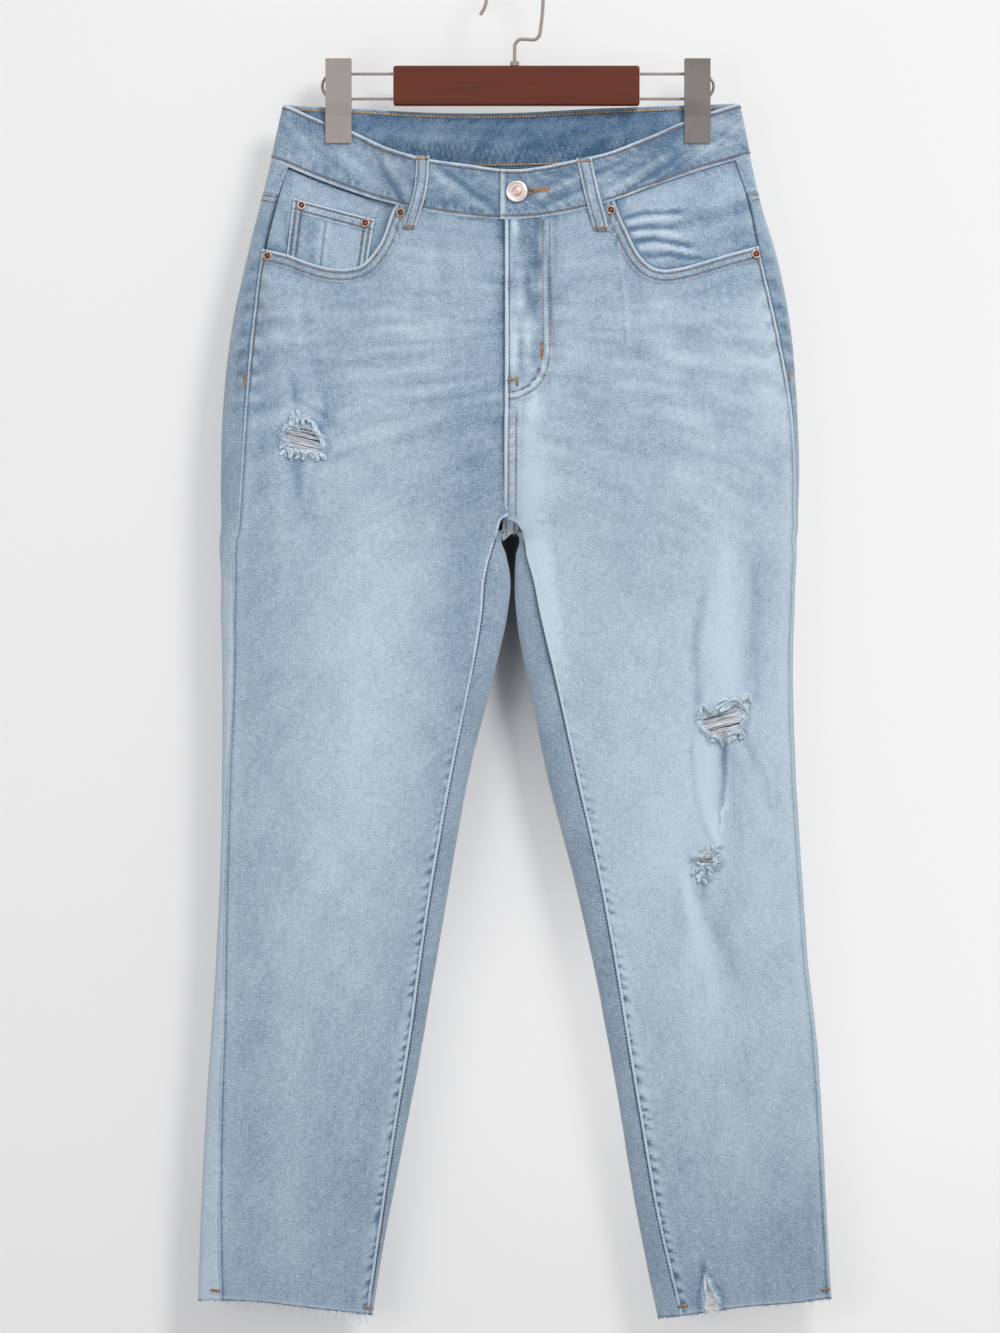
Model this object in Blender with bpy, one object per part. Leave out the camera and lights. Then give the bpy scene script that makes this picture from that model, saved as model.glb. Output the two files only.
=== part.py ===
"""Ripped five-pocket jeans hanging from a wooden clip hanger.

Metres, +Z up.  The origin is the top of the inside of the hook, where a rail carries it.  The
front of the jeans faces -Y and the wearer's right ("r") is at -X.  The two clips pinch the
waistband, so front and back meet there and part again between and below the clips.

The cloth lies on one form.  Each leg is a flattened tube, and above the crotch the two tubes
open into one.  A place on the form is given by its turn, the angle round the tube from its
outer edge (positive over the front, negative over the back), and by its drop below the origin.
Every panel is a grid on that form, and what is sewn on a panel is the same form, moved out.
"""
import math

import bmesh
import bpy
import numpy as np
from mathutils import Matrix, Vector

MM = 0.001

# ---- driving sizes, in millimetres ----------------------------------------------------------
CENTRE = -3.5            # x of the centre front and centre back seams
CROTCH = 452.0           # drop of the point where the four panels meet
FORK = 110.0             # height over which the crotch seam curves out to the full depth
ROUNDNESS = 2.6          # exponent of the flattened oval that each section follows
CLOTH = 1.2              # thickness of one layer of denim
BAND = 2.2               # thickness of the doubled waistband
SEAM_GAP = 0.4           # clearance between neighbouring pieces along a seam
EDGE_GAP = 0.9           # the same where the seam runs round the edge of a leg
PLY_GAP = 0.3            # clearance between a piece and what is sewn on it
FLY_LAP = 4.0            # width by which the left front laps over the right one
FLY_EASE = (3.0, 14.0)   # distances from the centre between which the lapped fronts part
FLY_FOOT = 335.0         # drop down to which the fly laps in full
LAP_END = 372.0          # drop at which the left front no longer laps over the right one
LIFT_END = 400.0         # drop at which both fronts are level again
UPPER_END = -11.0        # x of the waistband's upper end, which the button closes
UNDER_END = 20.0         # x of its under end
UPPER_EASE = (25.0, 46.0)  # x range over which the upper end rises to lie over the under end
UNDER_EASE = (-58.0, -22.0)  # x range over which the under end sinks below the upper one
BAND_SEAM_DROP = 204.0   # about the lowest drop of the waistband's lower seam
PINCH_HALF = 1.7         # distance from the middle plane to the pinched band's middle surface
PINCH_FLAT = 18.0        # half width of the stretch that a clip presses flat
PINCH_EASE = 26.0        # distance over which the band swells out again beside a clip
PINCH_FOOT = 146.0       # drop down to which the cloth is pressed flat
PINCH_FADE = 60.0        # distance over which the pinch runs out below the clips

# One row for each section of a leg's tube, in millimetres.  "side" and "inseam" are how far the
# seam lies inside the outer and the inner edge, seen from the front.
LEG_COLUMNS = ("drop", "outer", "side", "inseam", "inner", "front", "back")
LEG_ROWS = {
    "r": (
        (100, -182, 10, 0.0, -3.5, 27, 8),
        (150, -193, 15, 0.0, -3.5, 29, 10),
        (190, -203, 12, 0.0, -3.5, 31, 14),
        (230, -213, 12, 0.0, -3.5, 31, 20),
        (290, -226, 16, 0.0, -3.5, 30, 25),
        (350, -233, 18, 0.0, -3.5, 29, 28),
        (410, -235, 16, 0.0, -3.5, 27, 27),
        (441, -235, 14, 0.0, -4.1, 26, 26),
        (452, -235, 13, 0.2, -4.7, 25, 25),
        (459, -236, 12, 3.5, -9.5, 25, 25),
        (472, -236, 11, 11.5, -7.5, 24, 25),
        (490, -235, 10, 19.0, -4.3, 24, 24),
        (520, -235, 9, 19.5, -6.5, 23, 24),
        (560, -234, 8, 17.2, -15.1, 23, 23),
        (640, -234, 5, 13.2, -35.2, 21, 22),
        (740, -236, 4, 12.8, -53.5, 20, 20),
        (800, -239, 6, 11.5, -63.7, 19, 20),
        (860, -243, 9, 9.6, -73.7, 19, 19),
        (920, -247, 11, 8.0, -85.2, 18, 18),
        (1000, -251, 14, 5.0, -100.5, 17, 17),
        (1090, -254, 19, 1.8, -116.5, 16, 17),
    ),
    "l": (
        (100, 178, 9, 0.0, -3.5, 27, 8),
        (150, 188, 12, 0.0, -3.5, 29, 10),
        (190, 197, 9, 0.0, -3.5, 31, 14),
        (230, 209, 13, 0.0, -3.5, 31, 20),
        (290, 221, 11, 0.0, -3.5, 30, 25),
        (350, 226, 5, 0.0, -3.5, 29, 28),
        (410, 228, 3, 0.0, -3.5, 27, 27),
        (441, 227, 2, 0.0, -2.9, 26, 26),
        (452, 227, 2, 0.2, -2.3, 25, 25),
        (459, 226, 2, 3.5, 3.0, 25, 25),
        (472, 226, 1, 8.0, 2.0, 24, 25),
        (490, 225, 1, 13.9, 1.2, 24, 24),
        (520, 224, 1, 18.5, 2.4, 23, 24),
        (560, 223, 1, 21.4, 8.6, 23, 23),
        (640, 225, 1, 22.5, 25.0, 21, 22),
        (740, 231, 1, 19.0, 50.5, 20, 20),
        (800, 235, 1, 16.5, 64.0, 19, 20),
        (860, 242, 1, 14.6, 75.5, 19, 19),
        (920, 246, 1, 14.6, 85.5, 18, 18),
        (1000, 250, 1, 15.4, 98.5, 17, 17),
        (1090, 255, 1, 17.8, 117.0, 16, 17),
    ),
}

# Edges and seams that run across, as (x, drop) rows.
BAND_TOP_FRONT = ((-184, 111), (-152, 125), (-131, 132), (-100, 147), (-77, 154.5), (-36, 161),
                  (0, 165), (49, 157), (75, 151), (100, 141), (135, 125), (157, 117), (180, 110))
BAND_FOOT_FRONT = ((-195, 156), (-167, 167.5), (-136, 179.5), (-105, 190), (-72, 198),
                   (-13, 205), (25, 203), (59, 196), (86, 187.5), (110, 178), (140, 167),
                   (188, 153))
BAND_TOP_BACK = ((-184, 111), (-172, 112), (-130, 114), (-91, 119), (-52, 121.5), (0, 121.5),
                 (68, 117), (135, 113), (180, 110))
BAND_FOOT_BACK = ((-195, 156), (-130, 156), (-52, 162), (0, 162), (68, 159), (135, 155),
                  (188, 153))
YOKE_FOOT = ((-205, 181), (-120, 199), (-60, 214), (CENTRE, 228), (60, 214), (120, 197),
             (200, 180))
SCOOP = {
    "r": ((-205, 227), (-180, 233), (-164, 239), (-148, 243.5), (-132, 244), (-121, 240.5),
          (-112, 231), (-104, 217.5), (-100, 205.5), (-95, 193)),
    "l": ((80, 188), (83, 199), (90, 215), (98, 231), (107, 241), (117, 244.8), (132, 243.5),
          (152, 238), (175, 231), (197, 225)),
}
HEM = {
    "r": ((-254, 1069.5), (-234, 1069.5), (-203, 1071), (-172, 1074.5), (-115, 1081.5)),
    "l": ((115, 1084), (134, 1082), (186, 1074.5), (220, 1072), (255, 1068)),
}

# The largest folds: the line each follows, its half width and its height, negative for a trough.
FOLD_COLUMNS = ("x0", "drop0", "x1", "drop1", "half_width", "height")
FRONT_FOLDS = (
    (14, 380, 26, 545, 15, 3.0),
    (166, 485, 168, 585, 14, 3.5),
    (192, 440, 195, 580, 13, -3.0),
    (153, 620, 160, 700, 13, 2.5),
    (150, 735, 172, 815, 13, -3.0),
    (-168, 250, -150, 360, 14, -2.0),
)
BACK_FOLDS = (
    (-105, 418, -35, 446, 14, -3.0),
    (100, 420, 28, 446, 14, -3.0),
    (-200, 700, -120, 730, 15, -2.5),
    (125, 715, 210, 690, 15, -2.5),
    (-150, 480, -138, 620, 16, 2.0),
    (150, 500, 163, 640, 16, 2.0),
)

# Rows of the panels' grids at fixed drops, which neighbours share so that their seams match.
LEVELS = (252, 275, 304, 335, 372, 400, 424, 441, 452, 459, 472, 490, 520, 560, 600, 640, 680, 720,
          760, 800, 850, 900, 950, 1005)
TOP_STEPS = (0.0, 0.5)
HEM_STEPS = (0.5, 1.0)
# Shares of a front's width at which its columns run, closer where the scoop turns up.
FRONT_SHARES = {
    "r": (0, 0.03, 0.08, 0.16, 0.25, 0.33, 0.41, 0.46, 0.50, 0.52, 0.545, 0.60, 0.70, 0.80, 0.90,
          1),
    "l": (0, 0.02, 0.06, 0.13, 0.22, 0.31, 0.40, 0.45, 0.494, 0.534, 0.569, 0.60, 0.68, 0.78,
          0.89, 1),
}
BACK_COLUMNS = 18

# Rips: centre and size of the hole, and its tilt in degrees.
RIP_COLUMNS = ("name", "side", "x", "drop", "width", "height", "tilt")
RIPS = (
    ("rip_thigh_r", "r", -169.5, 380.5, 30.0, 17.0, -8.0),
    ("rip_knee_l", "l", 167.0, 605.5, 33.0, 17.0, 14.0),
    ("rip_shin_l", "l", 154.0, 718.0, 15.0, 7.0, 10.0),
)
# The tear in the left hem, as (x, drop) corners.
NICK = ((153, 1095), (167, 1095), (165, 1062), (158, 1047))

# Pockets and closure
FACING_PLY = 1.0         # thickness of the pocket facings
FACING_DEPTH = {"r": 2.9, "l": 1.6}  # how far they lie behind the front's surface
FACING_UNDER = 8.0       # how far they run on under the front, below and beside the scoop
COIN_PLY = 0.8           # thickness of the coin pocket
COIN_DEPTH = 1.5         # how far it lies behind the front's surface
COIN_X = (-177.0, -112.0)  # x of its upper corners
COIN_TOP = (186.5, 204.0)  # drops of its upper corners
COIN_SLANT = -6.0        # how far its foot lies outside its top
COIN_UNDER = 4.0         # how far its foot runs on under the front
POCKET_PLY = 1.0         # thickness of a back pocket
POCKET_INNER = (46.0, 52.0)  # distance of its inner edge from the centre seam, top and foot
POCKET_OUTER = (172.0, 168.0)  # the same of its outer edge
POCKET_TOP = (252.0, 248.0)  # drops of its upper corners, inner and outer
POCKET_FOOT = 378.0      # drop of its lower corners
POCKET_POINT = 16.0      # how far the point between them lies lower
ZIP_TAPE = 1.2           # thickness of the closure's tape
ZIP_DROPS = (212.0, 330.0)
ZIP_START = 0.5          # distance of its inner edge from the centre seam
ZIP_WIDTH = 22.0

# Belt loops: name, which face, half of the form, (x, drop) route and width.
LOOP_PLY = 1.6
LOOP_BOW = 1.6           # how far a loop stands off the band at its middle
LOOPS = (
    ("front_r", "front", "r", ((-72.8, 154), (-74.8, 181), (-84.4, 213)), 10.0),
    ("front_l", "front", "l", ((55.2, 156), (61.0, 182), (69.6, 214.5)), 12.0),
    ("side_r", "back", "r", ((-161, 114), (-162, 144), (-163, 172)), 11.0),
    ("side_l", "back", "l", ((164, 113), (165, 142), (166, 170)), 11.0),
    ("back", "back", "r", ((-1.2, 122), (-1.2, 150), (-1.2, 177)), 11.0),
)

# Fittings
BUTTON_X = 1.8
BUTTON_DROP = 183.0
BUTTON_RADIUS = 8.8
SHANK_RADIUS = 2.2
BUTTON_STAND = 0.8       # how far the head stands off the band's upper end
# Button head: radius, and height above the top of the shank.
BUTTON_HEAD = ((8.2, 0.5), (BUTTON_RADIUS, 1.1), (8.3, 1.9), (6.9, 2.0), (6.5, 1.5), (3.4, 1.5),
               (3.0, 2.0), (0, 2.2))
# Rivet: radius, and height above the cloth.
RIVET_PROFILE = ((0, 0), (3.6, 0), (3.6, 0.5), (2.9, 1.0), (1.6, 1.1), (1.2, 1.4), (0, 1.4))
BUTTONHOLE_LENGTH = 20.0  # from the eye's centre to the slot's end
BUTTONHOLE_HALF = 1.0    # half width of the slot
# Rivets: name, side, x, drop and the lift of the surface that each stands on.
RIVETS = (
    ("pocket_r_side", "r", -197.0, 233.5, CLOTH / 2),
    ("pocket_r_band", "r", -90.6, 199.5, CLOTH / 2),
    ("pocket_l_side", "l", 193.0, 232.0, CLOTH / 2),
    ("pocket_l_band", "l", 77.0, 197.5, CLOTH / 2),
    ("coin_outer", "r", -170.8, 192.5, COIN_PLY / 2 - COIN_DEPTH),
    ("coin_inner", "r", -119.6, 207.0, COIN_PLY / 2 - COIN_DEPTH),
)

# Hanger
HOOK_RADIUS = 22.0       # inside radius of the hook
HOOK_WIRE = 1.4          # radius of its wire
HOOK_ARC = 196.0         # degrees of the circle that the hook goes round
BAR_CENTRE = (1.6, 96.0)
BAR_SIZE = (197.6, 12.0, 32.0)
WIRE_RADIUS = 1.2
WIRE_DROPS = (86.4, 106.4)
WIRE_REACH = {"r": -154.4, "l": 160.0}
CLIP_X = {"r": -141.2, "l": 146.8}
CLIP_WIDTH = 20.8
CLIP_SHEET = 1.2
PIN_RADIUS = 2.5
# Sections of a clip plate: drop, and how far its inner face and its flanges' rims lie from the
# middle plane.
CLIP_SECTIONS = ((74.5, 8.0, 3.6), (78, 7.6, 2.4), (84, 7.2, 1.5), (108, 6.6, 1.5),
                 (110.5, 6.3, 3.2), (121, 4.2, 3.1), (142, 3.6, 3.1))
BAR_TOP = BAR_CENTRE[1] - BAR_SIZE[2] / 2
BAR_EDGE = 2.0           # rounding of the bar's edges
# The hook's wire from the ferrule up to its arch, and past the arch's end, as (x, drop) rows.
HOOK_NECK = ((0.2, BAR_TOP - 4.3), (0.2, 68), (0.6, 62.5), (4, 58.8), (10, 58.6), (17, 58.6),
             (20, 55.5), (21, 50), (22.4, 38), (22.9, 30))
HOOK_TIP = ((-24.5, 34.5), (-27.5, 39.0))
# The ferrule round the wire's foot: radius, and height above the bar.
FERRULE = ((0, 0), (3.6, 0), (3.6, 2.6), (2.8, 3.6), (0, 3.6))

DENIM = (0.40, 0.51, 0.61)
DENIM_DEEP = (0.30, 0.41, 0.52)
WOOD = (0.16, 0.05, 0.03)
NICKEL = (0.40, 0.37, 0.35)
COPPER = (0.50, 0.30, 0.20)
TAPE = (0.25, 0.33, 0.42)


# ---- the form -------------------------------------------------------------------------------
def smooth_line(at, knots, values):
    """Read a table of knots and values at `at`, on a smooth curve through them."""
    knots = np.asarray(knots, float)
    values = np.asarray(values, float)
    slopes = np.gradient(values, knots)
    at = np.clip(at, knots[0], knots[-1])
    cell = np.clip(np.searchsorted(knots, at) - 1, 0, len(knots) - 2)
    width = knots[cell + 1] - knots[cell]
    t = (at - knots[cell]) / width
    start = values[cell] * (1 + 2 * t) * (1 - t) ** 2 + slopes[cell] * width * t * (1 - t) ** 2
    end = values[cell + 1] * t * t * (3 - 2 * t) + slopes[cell + 1] * width * t * t * (t - 1)
    return start + end


def across(rows, x):
    """Drop of an edge or seam at x."""
    table = np.array(rows, float)
    return smooth_line(np.asarray(x, float), table[:, 0], table[:, 1])


def leg(side, name, drop):
    """One column of a leg's section table, read at `drop`."""
    table = np.array(LEG_ROWS[side], float)
    return smooth_line(np.asarray(drop, float), table[:, 0], table[:, LEG_COLUMNS.index(name)])


def smoothstep(value, low, high):
    t = np.clip((np.asarray(value, float) - low) / (high - low), 0, 1)
    return t * t * (3 - 2 * t)


def oval_cos(turn):
    c = np.cos(turn)
    return np.sign(c) * np.abs(c) ** (2 / ROUNDNESS)


def oval_sin(turn):
    s = np.sin(turn)
    return np.sign(s) * np.abs(s) ** (2 / ROUNDNESS)


def sweep(drop):
    """Turn at which a section reaches the centre seam: half a turn from the crotch down, and a
    quarter above the fork, with the crotch seam a quarter circle in side view between them."""
    rise = np.clip((CROTCH - np.asarray(drop, float)) / FORK, 0, 1)
    depth = np.sqrt(1 - (1 - rise) ** 2)
    return math.pi - np.arcsin(depth ** (ROUNDNESS / 2))


def turn_of_reach(reach, drop):
    """Turn of the front's point that lies this share of the way from outer to inner edge."""
    c = np.clip(1 - reach * (1 - oval_cos(sweep(drop))), -1, 1)
    return np.arccos(np.sign(c) * np.abs(c) ** (ROUNDNESS / 2))


def turn_at(side, x, drop):
    """Turn of the front's point with this x."""
    outer = leg(side, "outer", drop)
    return turn_of_reach((x - outer) / (leg(side, "inner", drop) - outer), drop)


def pinch(x, drop):
    """How far the clips press the cloth flat here, from 0 to 1."""
    amount = 0.0
    for centre in CLIP_X.values():
        beside = np.maximum(np.abs(x - centre) - PINCH_FLAT, 0) / PINCH_EASE
        amount = amount + np.exp(-beside ** 2)
    below = np.maximum(drop - PINCH_FOOT, 0) / PINCH_FADE
    return np.clip(amount, 0, 1) * np.exp(-below ** 2)


def folds(rows, x, drop):
    """Summed height of the folds here: each is a soft bell across its line, longer at its ends."""
    total = 0.0
    for row in rows:
        fold = dict(zip(FOLD_COLUMNS, row))
        run = np.array((fold["x1"] - fold["x0"], fold["drop1"] - fold["drop0"]), float)
        length = np.hypot(*run)
        along = ((x - fold["x0"]) * run[0] + (drop - fold["drop0"]) * run[1]) / length
        beside = ((x - fold["x0"]) * run[1] - (drop - fold["drop0"]) * run[0]) / length
        beyond = along - np.clip(along, 0, length)
        total = total + fold["height"] * np.exp(-(beside ** 2 + (0.4 * beyond) ** 2)
                                                / fold["half_width"] ** 2)
    return total


def form(side, turn, drop):
    """Points of the cloth's middle surface, in millimetres, for arrays of turns and drops."""
    turn, drop = np.broadcast_arrays(np.asarray(turn, float), np.asarray(drop, float))
    outer = leg(side, "outer", drop)
    reach = (1 - oval_cos(turn)) / (1 - oval_cos(sweep(drop)))
    x = outer + (leg(side, "inner", drop) - outer) * reach
    lift = oval_sin(turn)
    flat = pinch(x, drop)
    facing = np.clip(4 * lift, -1, 1)
    front = leg(side, "front", drop) * lift
    back = leg(side, "back", drop) * lift
    y = np.where(lift > 0, front, back) * (1 - flat) + PINCH_HALF * facing * flat
    soft = np.abs(lift) * (1 - flat)
    y = y + soft * np.where(lift > 0, folds(FRONT_FOLDS, x, drop), -folds(BACK_FOLDS, x, drop))
    return np.stack((x, -y, -drop), axis=-1)


def outward(side, turn, drop):
    """Unit normals of the form that point away from the inside of the tube."""
    step = 0.01
    tall = 0.5
    round_it = form(side, turn + step, drop) - form(side, turn - step, drop)
    down = form(side, turn, drop + tall) - form(side, turn, drop - tall)
    normal = np.cross(down, round_it) if side == "r" else np.cross(round_it, down)
    return normal / np.linalg.norm(normal, axis=-1, keepdims=True)


def lifted(side, turn, drop, lift):
    """The form moved out by `lift` millimetres, or in where it is negative."""
    lift = np.asarray(lift, float)
    turn, drop, lift = np.broadcast_arrays(turn, drop, lift)
    return form(side, turn, drop) + outward(side, turn, drop) * lift[..., None]


def on_front(side, x, drop, lift):
    return lifted(side, turn_at(side, x, drop), drop, lift)


def on_back(side, x, drop, lift):
    return lifted(side, -turn_at(side, x, drop), drop, lift)


# ---- objects --------------------------------------------------------------------------------
def clear_scene():
    for obj in list(bpy.data.objects):
        bpy.data.objects.remove(obj, do_unlink=True)


def material(name, colour, roughness, metallic):
    mat = bpy.data.materials.new(name + "_finish")
    mat.use_nodes = True
    shader = mat.node_tree.nodes["Principled BSDF"]
    shader.inputs["Base Color"].default_value = (*colour, 1.0)
    shader.inputs["Roughness"].default_value = roughness
    shader.inputs["Metallic"].default_value = metallic
    mat.diffuse_color = (*colour, 1.0)
    return mat


def add_object(name, mesh, colour, roughness=0.85, metallic=0.0):
    obj = bpy.data.objects.new(name, mesh)
    bpy.context.scene.collection.objects.link(obj)
    mesh.materials.append(material(name, colour, roughness, metallic))
    return obj


def trimmed(points, first, last):
    """Pull the first and the last column in along their rows, to leave the seams' clearance."""
    points = points.copy()
    for edge, inner, gap in ((0, 1, first), (-1, -2, last)):
        inward = points[:, inner] - points[:, edge]
        inward = inward / np.linalg.norm(inward, axis=-1, keepdims=True)
        points[:, edge] += inward * gap
    return points


def add_sheet(name, points, thickness, colour=DENIM):
    """A wall of cloth on both sides of a grid of points, given in millimetres, row by row."""
    rows, columns = points.shape[:2]
    index = np.arange(rows * columns).reshape(rows, columns)
    quads = np.stack((index[:-1, :-1], index[:-1, 1:], index[1:, 1:], index[1:, :-1]), axis=-1)
    mesh = bpy.data.meshes.new(name)
    mesh.from_pydata((points.reshape(-1, 3) * MM).tolist(), [], quads.reshape(-1, 4).tolist())
    mesh.shade_smooth()
    obj = add_object(name, mesh, colour)
    wall = obj.modifiers.new("wall", "SOLIDIFY")
    wall.thickness = thickness * MM
    wall.offset = 0.0
    return obj


def new_mesh(name, bm, smooth_angle=40.0):
    """Turn a bmesh whose sizes are millimetres into a mesh, with round stretches shaded smooth."""
    bmesh.ops.recalc_face_normals(bm, faces=bm.faces)
    bmesh.ops.scale(bm, vec=(MM, MM, MM), verts=bm.verts)
    mesh = bpy.data.meshes.new(name)
    bm.to_mesh(mesh)
    bm.free()
    mesh.shade_smooth()
    mesh.set_sharp_from_angle(angle=math.radians(smooth_angle))
    return mesh


def loft(sections):
    """Join closed outlines of equal point counts into one solid."""
    bm = bmesh.new()
    rings = [[bm.verts.new(tuple(point)) for point in outline] for outline in sections]
    count = len(rings[0])
    for low, high in zip(rings, rings[1:]):
        for i in range(count):
            j = (i + 1) % count
            bm.faces.new((low[i], low[j], high[j], high[i]))
    bm.faces.new(rings[0])
    bm.faces.new(rings[-1])
    return bm


def ring_points(centre, u, v, radius, sides):
    angles = np.linspace(0, 2 * math.pi, sides, endpoint=False)[:, None]
    return centre + radius * (np.cos(angles) * u + np.sin(angles) * v)


def tube(path, radius, sides=8):
    """A round wire that follows a path which lies in a plane of constant Y."""
    path = np.array(path, float)
    ahead = np.gradient(path, axis=0)
    ahead = ahead / np.linalg.norm(ahead, axis=1, keepdims=True)
    across_plane = np.array((0.0, 1.0, 0.0))
    outlines = []
    for point, direction in zip(path, ahead):
        sideways = np.cross(direction, across_plane)
        outlines.append(ring_points(point, across_plane, sideways, radius, sides))
    return loft(outlines)


def turned(profile, sides=24):
    """A solid of revolution about +Z from (radius, height) rows, the ends on its axis."""
    bm = bmesh.new()
    rings = []
    for radius, height in profile:
        if radius == 0:
            rings.append([bm.verts.new((0, 0, height))])
        else:
            circle = ring_points(np.array((0, 0, height)), np.array((1, 0, 0)),
                                 np.array((0, 1, 0)), radius, sides)
            rings.append([bm.verts.new(tuple(point)) for point in circle])
    for low, high in zip(rings, rings[1:]):
        for i in range(sides):
            j = (i + 1) % sides
            corners = (low[i % len(low)], low[j % len(low)], high[j % len(high)],
                       high[i % len(high)])
            bm.faces.new(tuple(dict.fromkeys(corners)))
    return bm


# ---- panels ---------------------------------------------------------------------------------
def panel_drops(top, hem):
    """Drops of a panel's grid: from its top edge to the shared levels, then on to the hem."""
    rows = [top + (LEVELS[0] - top) * step for step in TOP_STEPS]
    rows += [np.full_like(top, level) for level in LEVELS]
    rows += [LEVELS[-1] + (hem - LEVELS[-1]) * step for step in HEM_STEPS]
    return np.array(rows)


def inward(side):
    """Sign of the way along X from a side seam to the centre."""
    return 1 if side == "r" else -1


def side_seam_x(side, drop):
    return leg(side, "outer", drop) + inward(side) * leg(side, "side", drop)


def front_end_x(side, drop):
    """X of a front's inner edge: the lapped centre front, or the inseam below the crotch."""
    inner = leg(side, "inner", drop)
    lap = inward(side) * FLY_LAP / 2 * (1 - smoothstep(drop, FLY_FOOT, LAP_END))
    return np.where(drop < CROTCH, inner + lap, inner - inward(side) * leg(side, "inseam", drop))


def front_columns(side, drops):
    """Turns of a front's columns, spaced over x from the side seam to the inner edge."""
    start = side_seam_x(side, drops)
    x = start + (front_end_x(side, drops) - start) * np.array(FRONT_SHARES[side])
    return turn_at(side, x, drops)


def back_columns(side, drops):
    """Turns of a back's columns, evenly from the side seam round to the centre back or inseam."""
    start = turn_at(side, side_seam_x(side, drops), drops)
    inseam = turn_at(side, front_end_x(side, drops), drops) - 2 * math.pi
    end = np.where(drops < CROTCH, -sweep(drops), inseam)
    return start + (end - start) * np.linspace(0, 1, BACK_COLUMNS)


def band_top(x, on_the_front):
    return np.where(on_the_front, across(BAND_TOP_FRONT, x), across(BAND_TOP_BACK, x))


def band_foot(x, on_the_front):
    return np.where(on_the_front, across(BAND_FOOT_FRONT, x), across(BAND_FOOT_BACK, x))


def fitted_grid(side, columns, count, drops_between):
    """Turns and drops of a grid whose upper and lower edges are given as drops over x.  The x of
    the edge points depends on those drops in turn, so both are found by repeated substitution."""
    start = np.linspace(leg(side, "outer", BAND_SEAM_DROP), CENTRE, count)
    edges = {"top_x": start, "foot_x": start, "top_is_front": start != CENTRE}
    for _ in range(8):
        drops = drops_between(edges)
        turns = columns(side, drops)
        x = form(side, turns, drops)[..., 0]
        edges = {"top_x": x[0], "foot_x": x[-1], "top_is_front": turns[0] > 0}
    return turns, drops


def front_top(side, x):
    """Upper edge of a front: the waistband seam, or the pocket's scoop where that is lower."""
    return np.maximum(across(BAND_FOOT_FRONT, x), across(SCOOP[side], x)) + SEAM_GAP


def front_grid(side):
    def drops_between(edges):
        return panel_drops(front_top(side, edges["top_x"]), across(HEM[side], edges["foot_x"]))

    return fitted_grid(side, front_columns, len(FRONT_SHARES[side]), drops_between)


def back_grid(side):
    def drops_between(edges):
        top = across(YOKE_FOOT, edges["top_x"]) + SEAM_GAP
        return panel_drops(top, across(HEM[side], edges["foot_x"]))

    return fitted_grid(side, back_columns, BACK_COLUMNS, drops_between)


def yoke_grid(side):
    steps = np.linspace(0, 1, 4)[:, None]

    def drops_between(edges):
        top = band_foot(edges["top_x"], edges["top_is_front"]) + SEAM_GAP
        return top + (across(YOKE_FOOT, edges["foot_x"]) - top) * steps

    return fitted_grid(side, back_columns, BACK_COLUMNS, drops_between)


def facing_grid(side):
    """X places and drops of the denim behind the pocket's scoop, which runs on under the front."""
    scoop_end = SCOOP["r"][-1][0] if side == "r" else SCOOP["l"][0][0]
    inner_end = scoop_end + inward(side) * FACING_UNDER
    shares = np.linspace(0, 1, 13)
    steps = np.linspace(0, 1, 5)[:, None]
    x = side_seam_x(side, BAND_SEAM_DROP) * (1 - shares) + inner_end * shares
    for _ in range(4):
        top = across(BAND_FOOT_FRONT, x) + SEAM_GAP
        drops = top + (front_top(side, x) + FACING_UNDER - top) * steps
        places = side_seam_x(side, drops) * (1 - shares) + inner_end * shares
        x = places[0]
    return places, drops


def make_front(side):
    turns, drops = front_grid(side)
    from_centre = np.abs(form(side, turns, drops)[..., 0] - CENTRE)
    step = (CLOTH + SEAM_GAP) / 2 * -inward(side)
    near_fly = 1 - smoothstep(from_centre, *FLY_EASE)
    lift = step * near_fly * (1 - smoothstep(drops, LAP_END, LIFT_END))
    at_end = drops[:, -1:]
    inner_gap = np.where(at_end < LAP_END, 0.0, np.where(at_end < CROTCH, SEAM_GAP, EDGE_GAP) / 2)
    points = trimmed(lifted(side, turns, drops, lift), EDGE_GAP / 2, inner_gap)
    return add_sheet("front_panel_" + side, points, CLOTH)


def make_back(side):
    turns, drops = back_grid(side)
    inner_gap = np.where(drops[:, -1:] < CROTCH, SEAM_GAP, EDGE_GAP) / 2
    points = trimmed(form(side, turns, drops), EDGE_GAP / 2, inner_gap)
    return add_sheet("back_panel_" + side, points, CLOTH)


def make_yoke(side):
    turns, drops = yoke_grid(side)
    points = trimmed(form(side, turns, drops), EDGE_GAP / 2, SEAM_GAP / 2)
    return add_sheet("yoke_" + side, points, CLOTH)


def make_facing(side):
    places, drops = facing_grid(side)
    points = trimmed(on_front(side, places, drops, -FACING_DEPTH[side]), EDGE_GAP / 2, 0)
    return add_sheet("pocket_facing_" + side, points, FACING_PLY, DENIM_DEEP)


def make_coin_pocket():
    """The small pocket on the right facing; the front's scoop hides its foot."""
    shares = np.linspace(0, 1, 9)
    steps = np.linspace(0, 1, 5)[:, None]
    top = COIN_TOP[0] + (COIN_TOP[1] - COIN_TOP[0]) * shares
    start = COIN_X[0] + COIN_SLANT * steps
    places = start + (COIN_X[1] - COIN_X[0]) * shares
    drops = top + (across(SCOOP["r"], places[-1]) + COIN_UNDER - top) * steps
    return add_sheet("coin_pocket", on_front("r", places, drops, -COIN_DEPTH), COIN_PLY)


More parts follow.
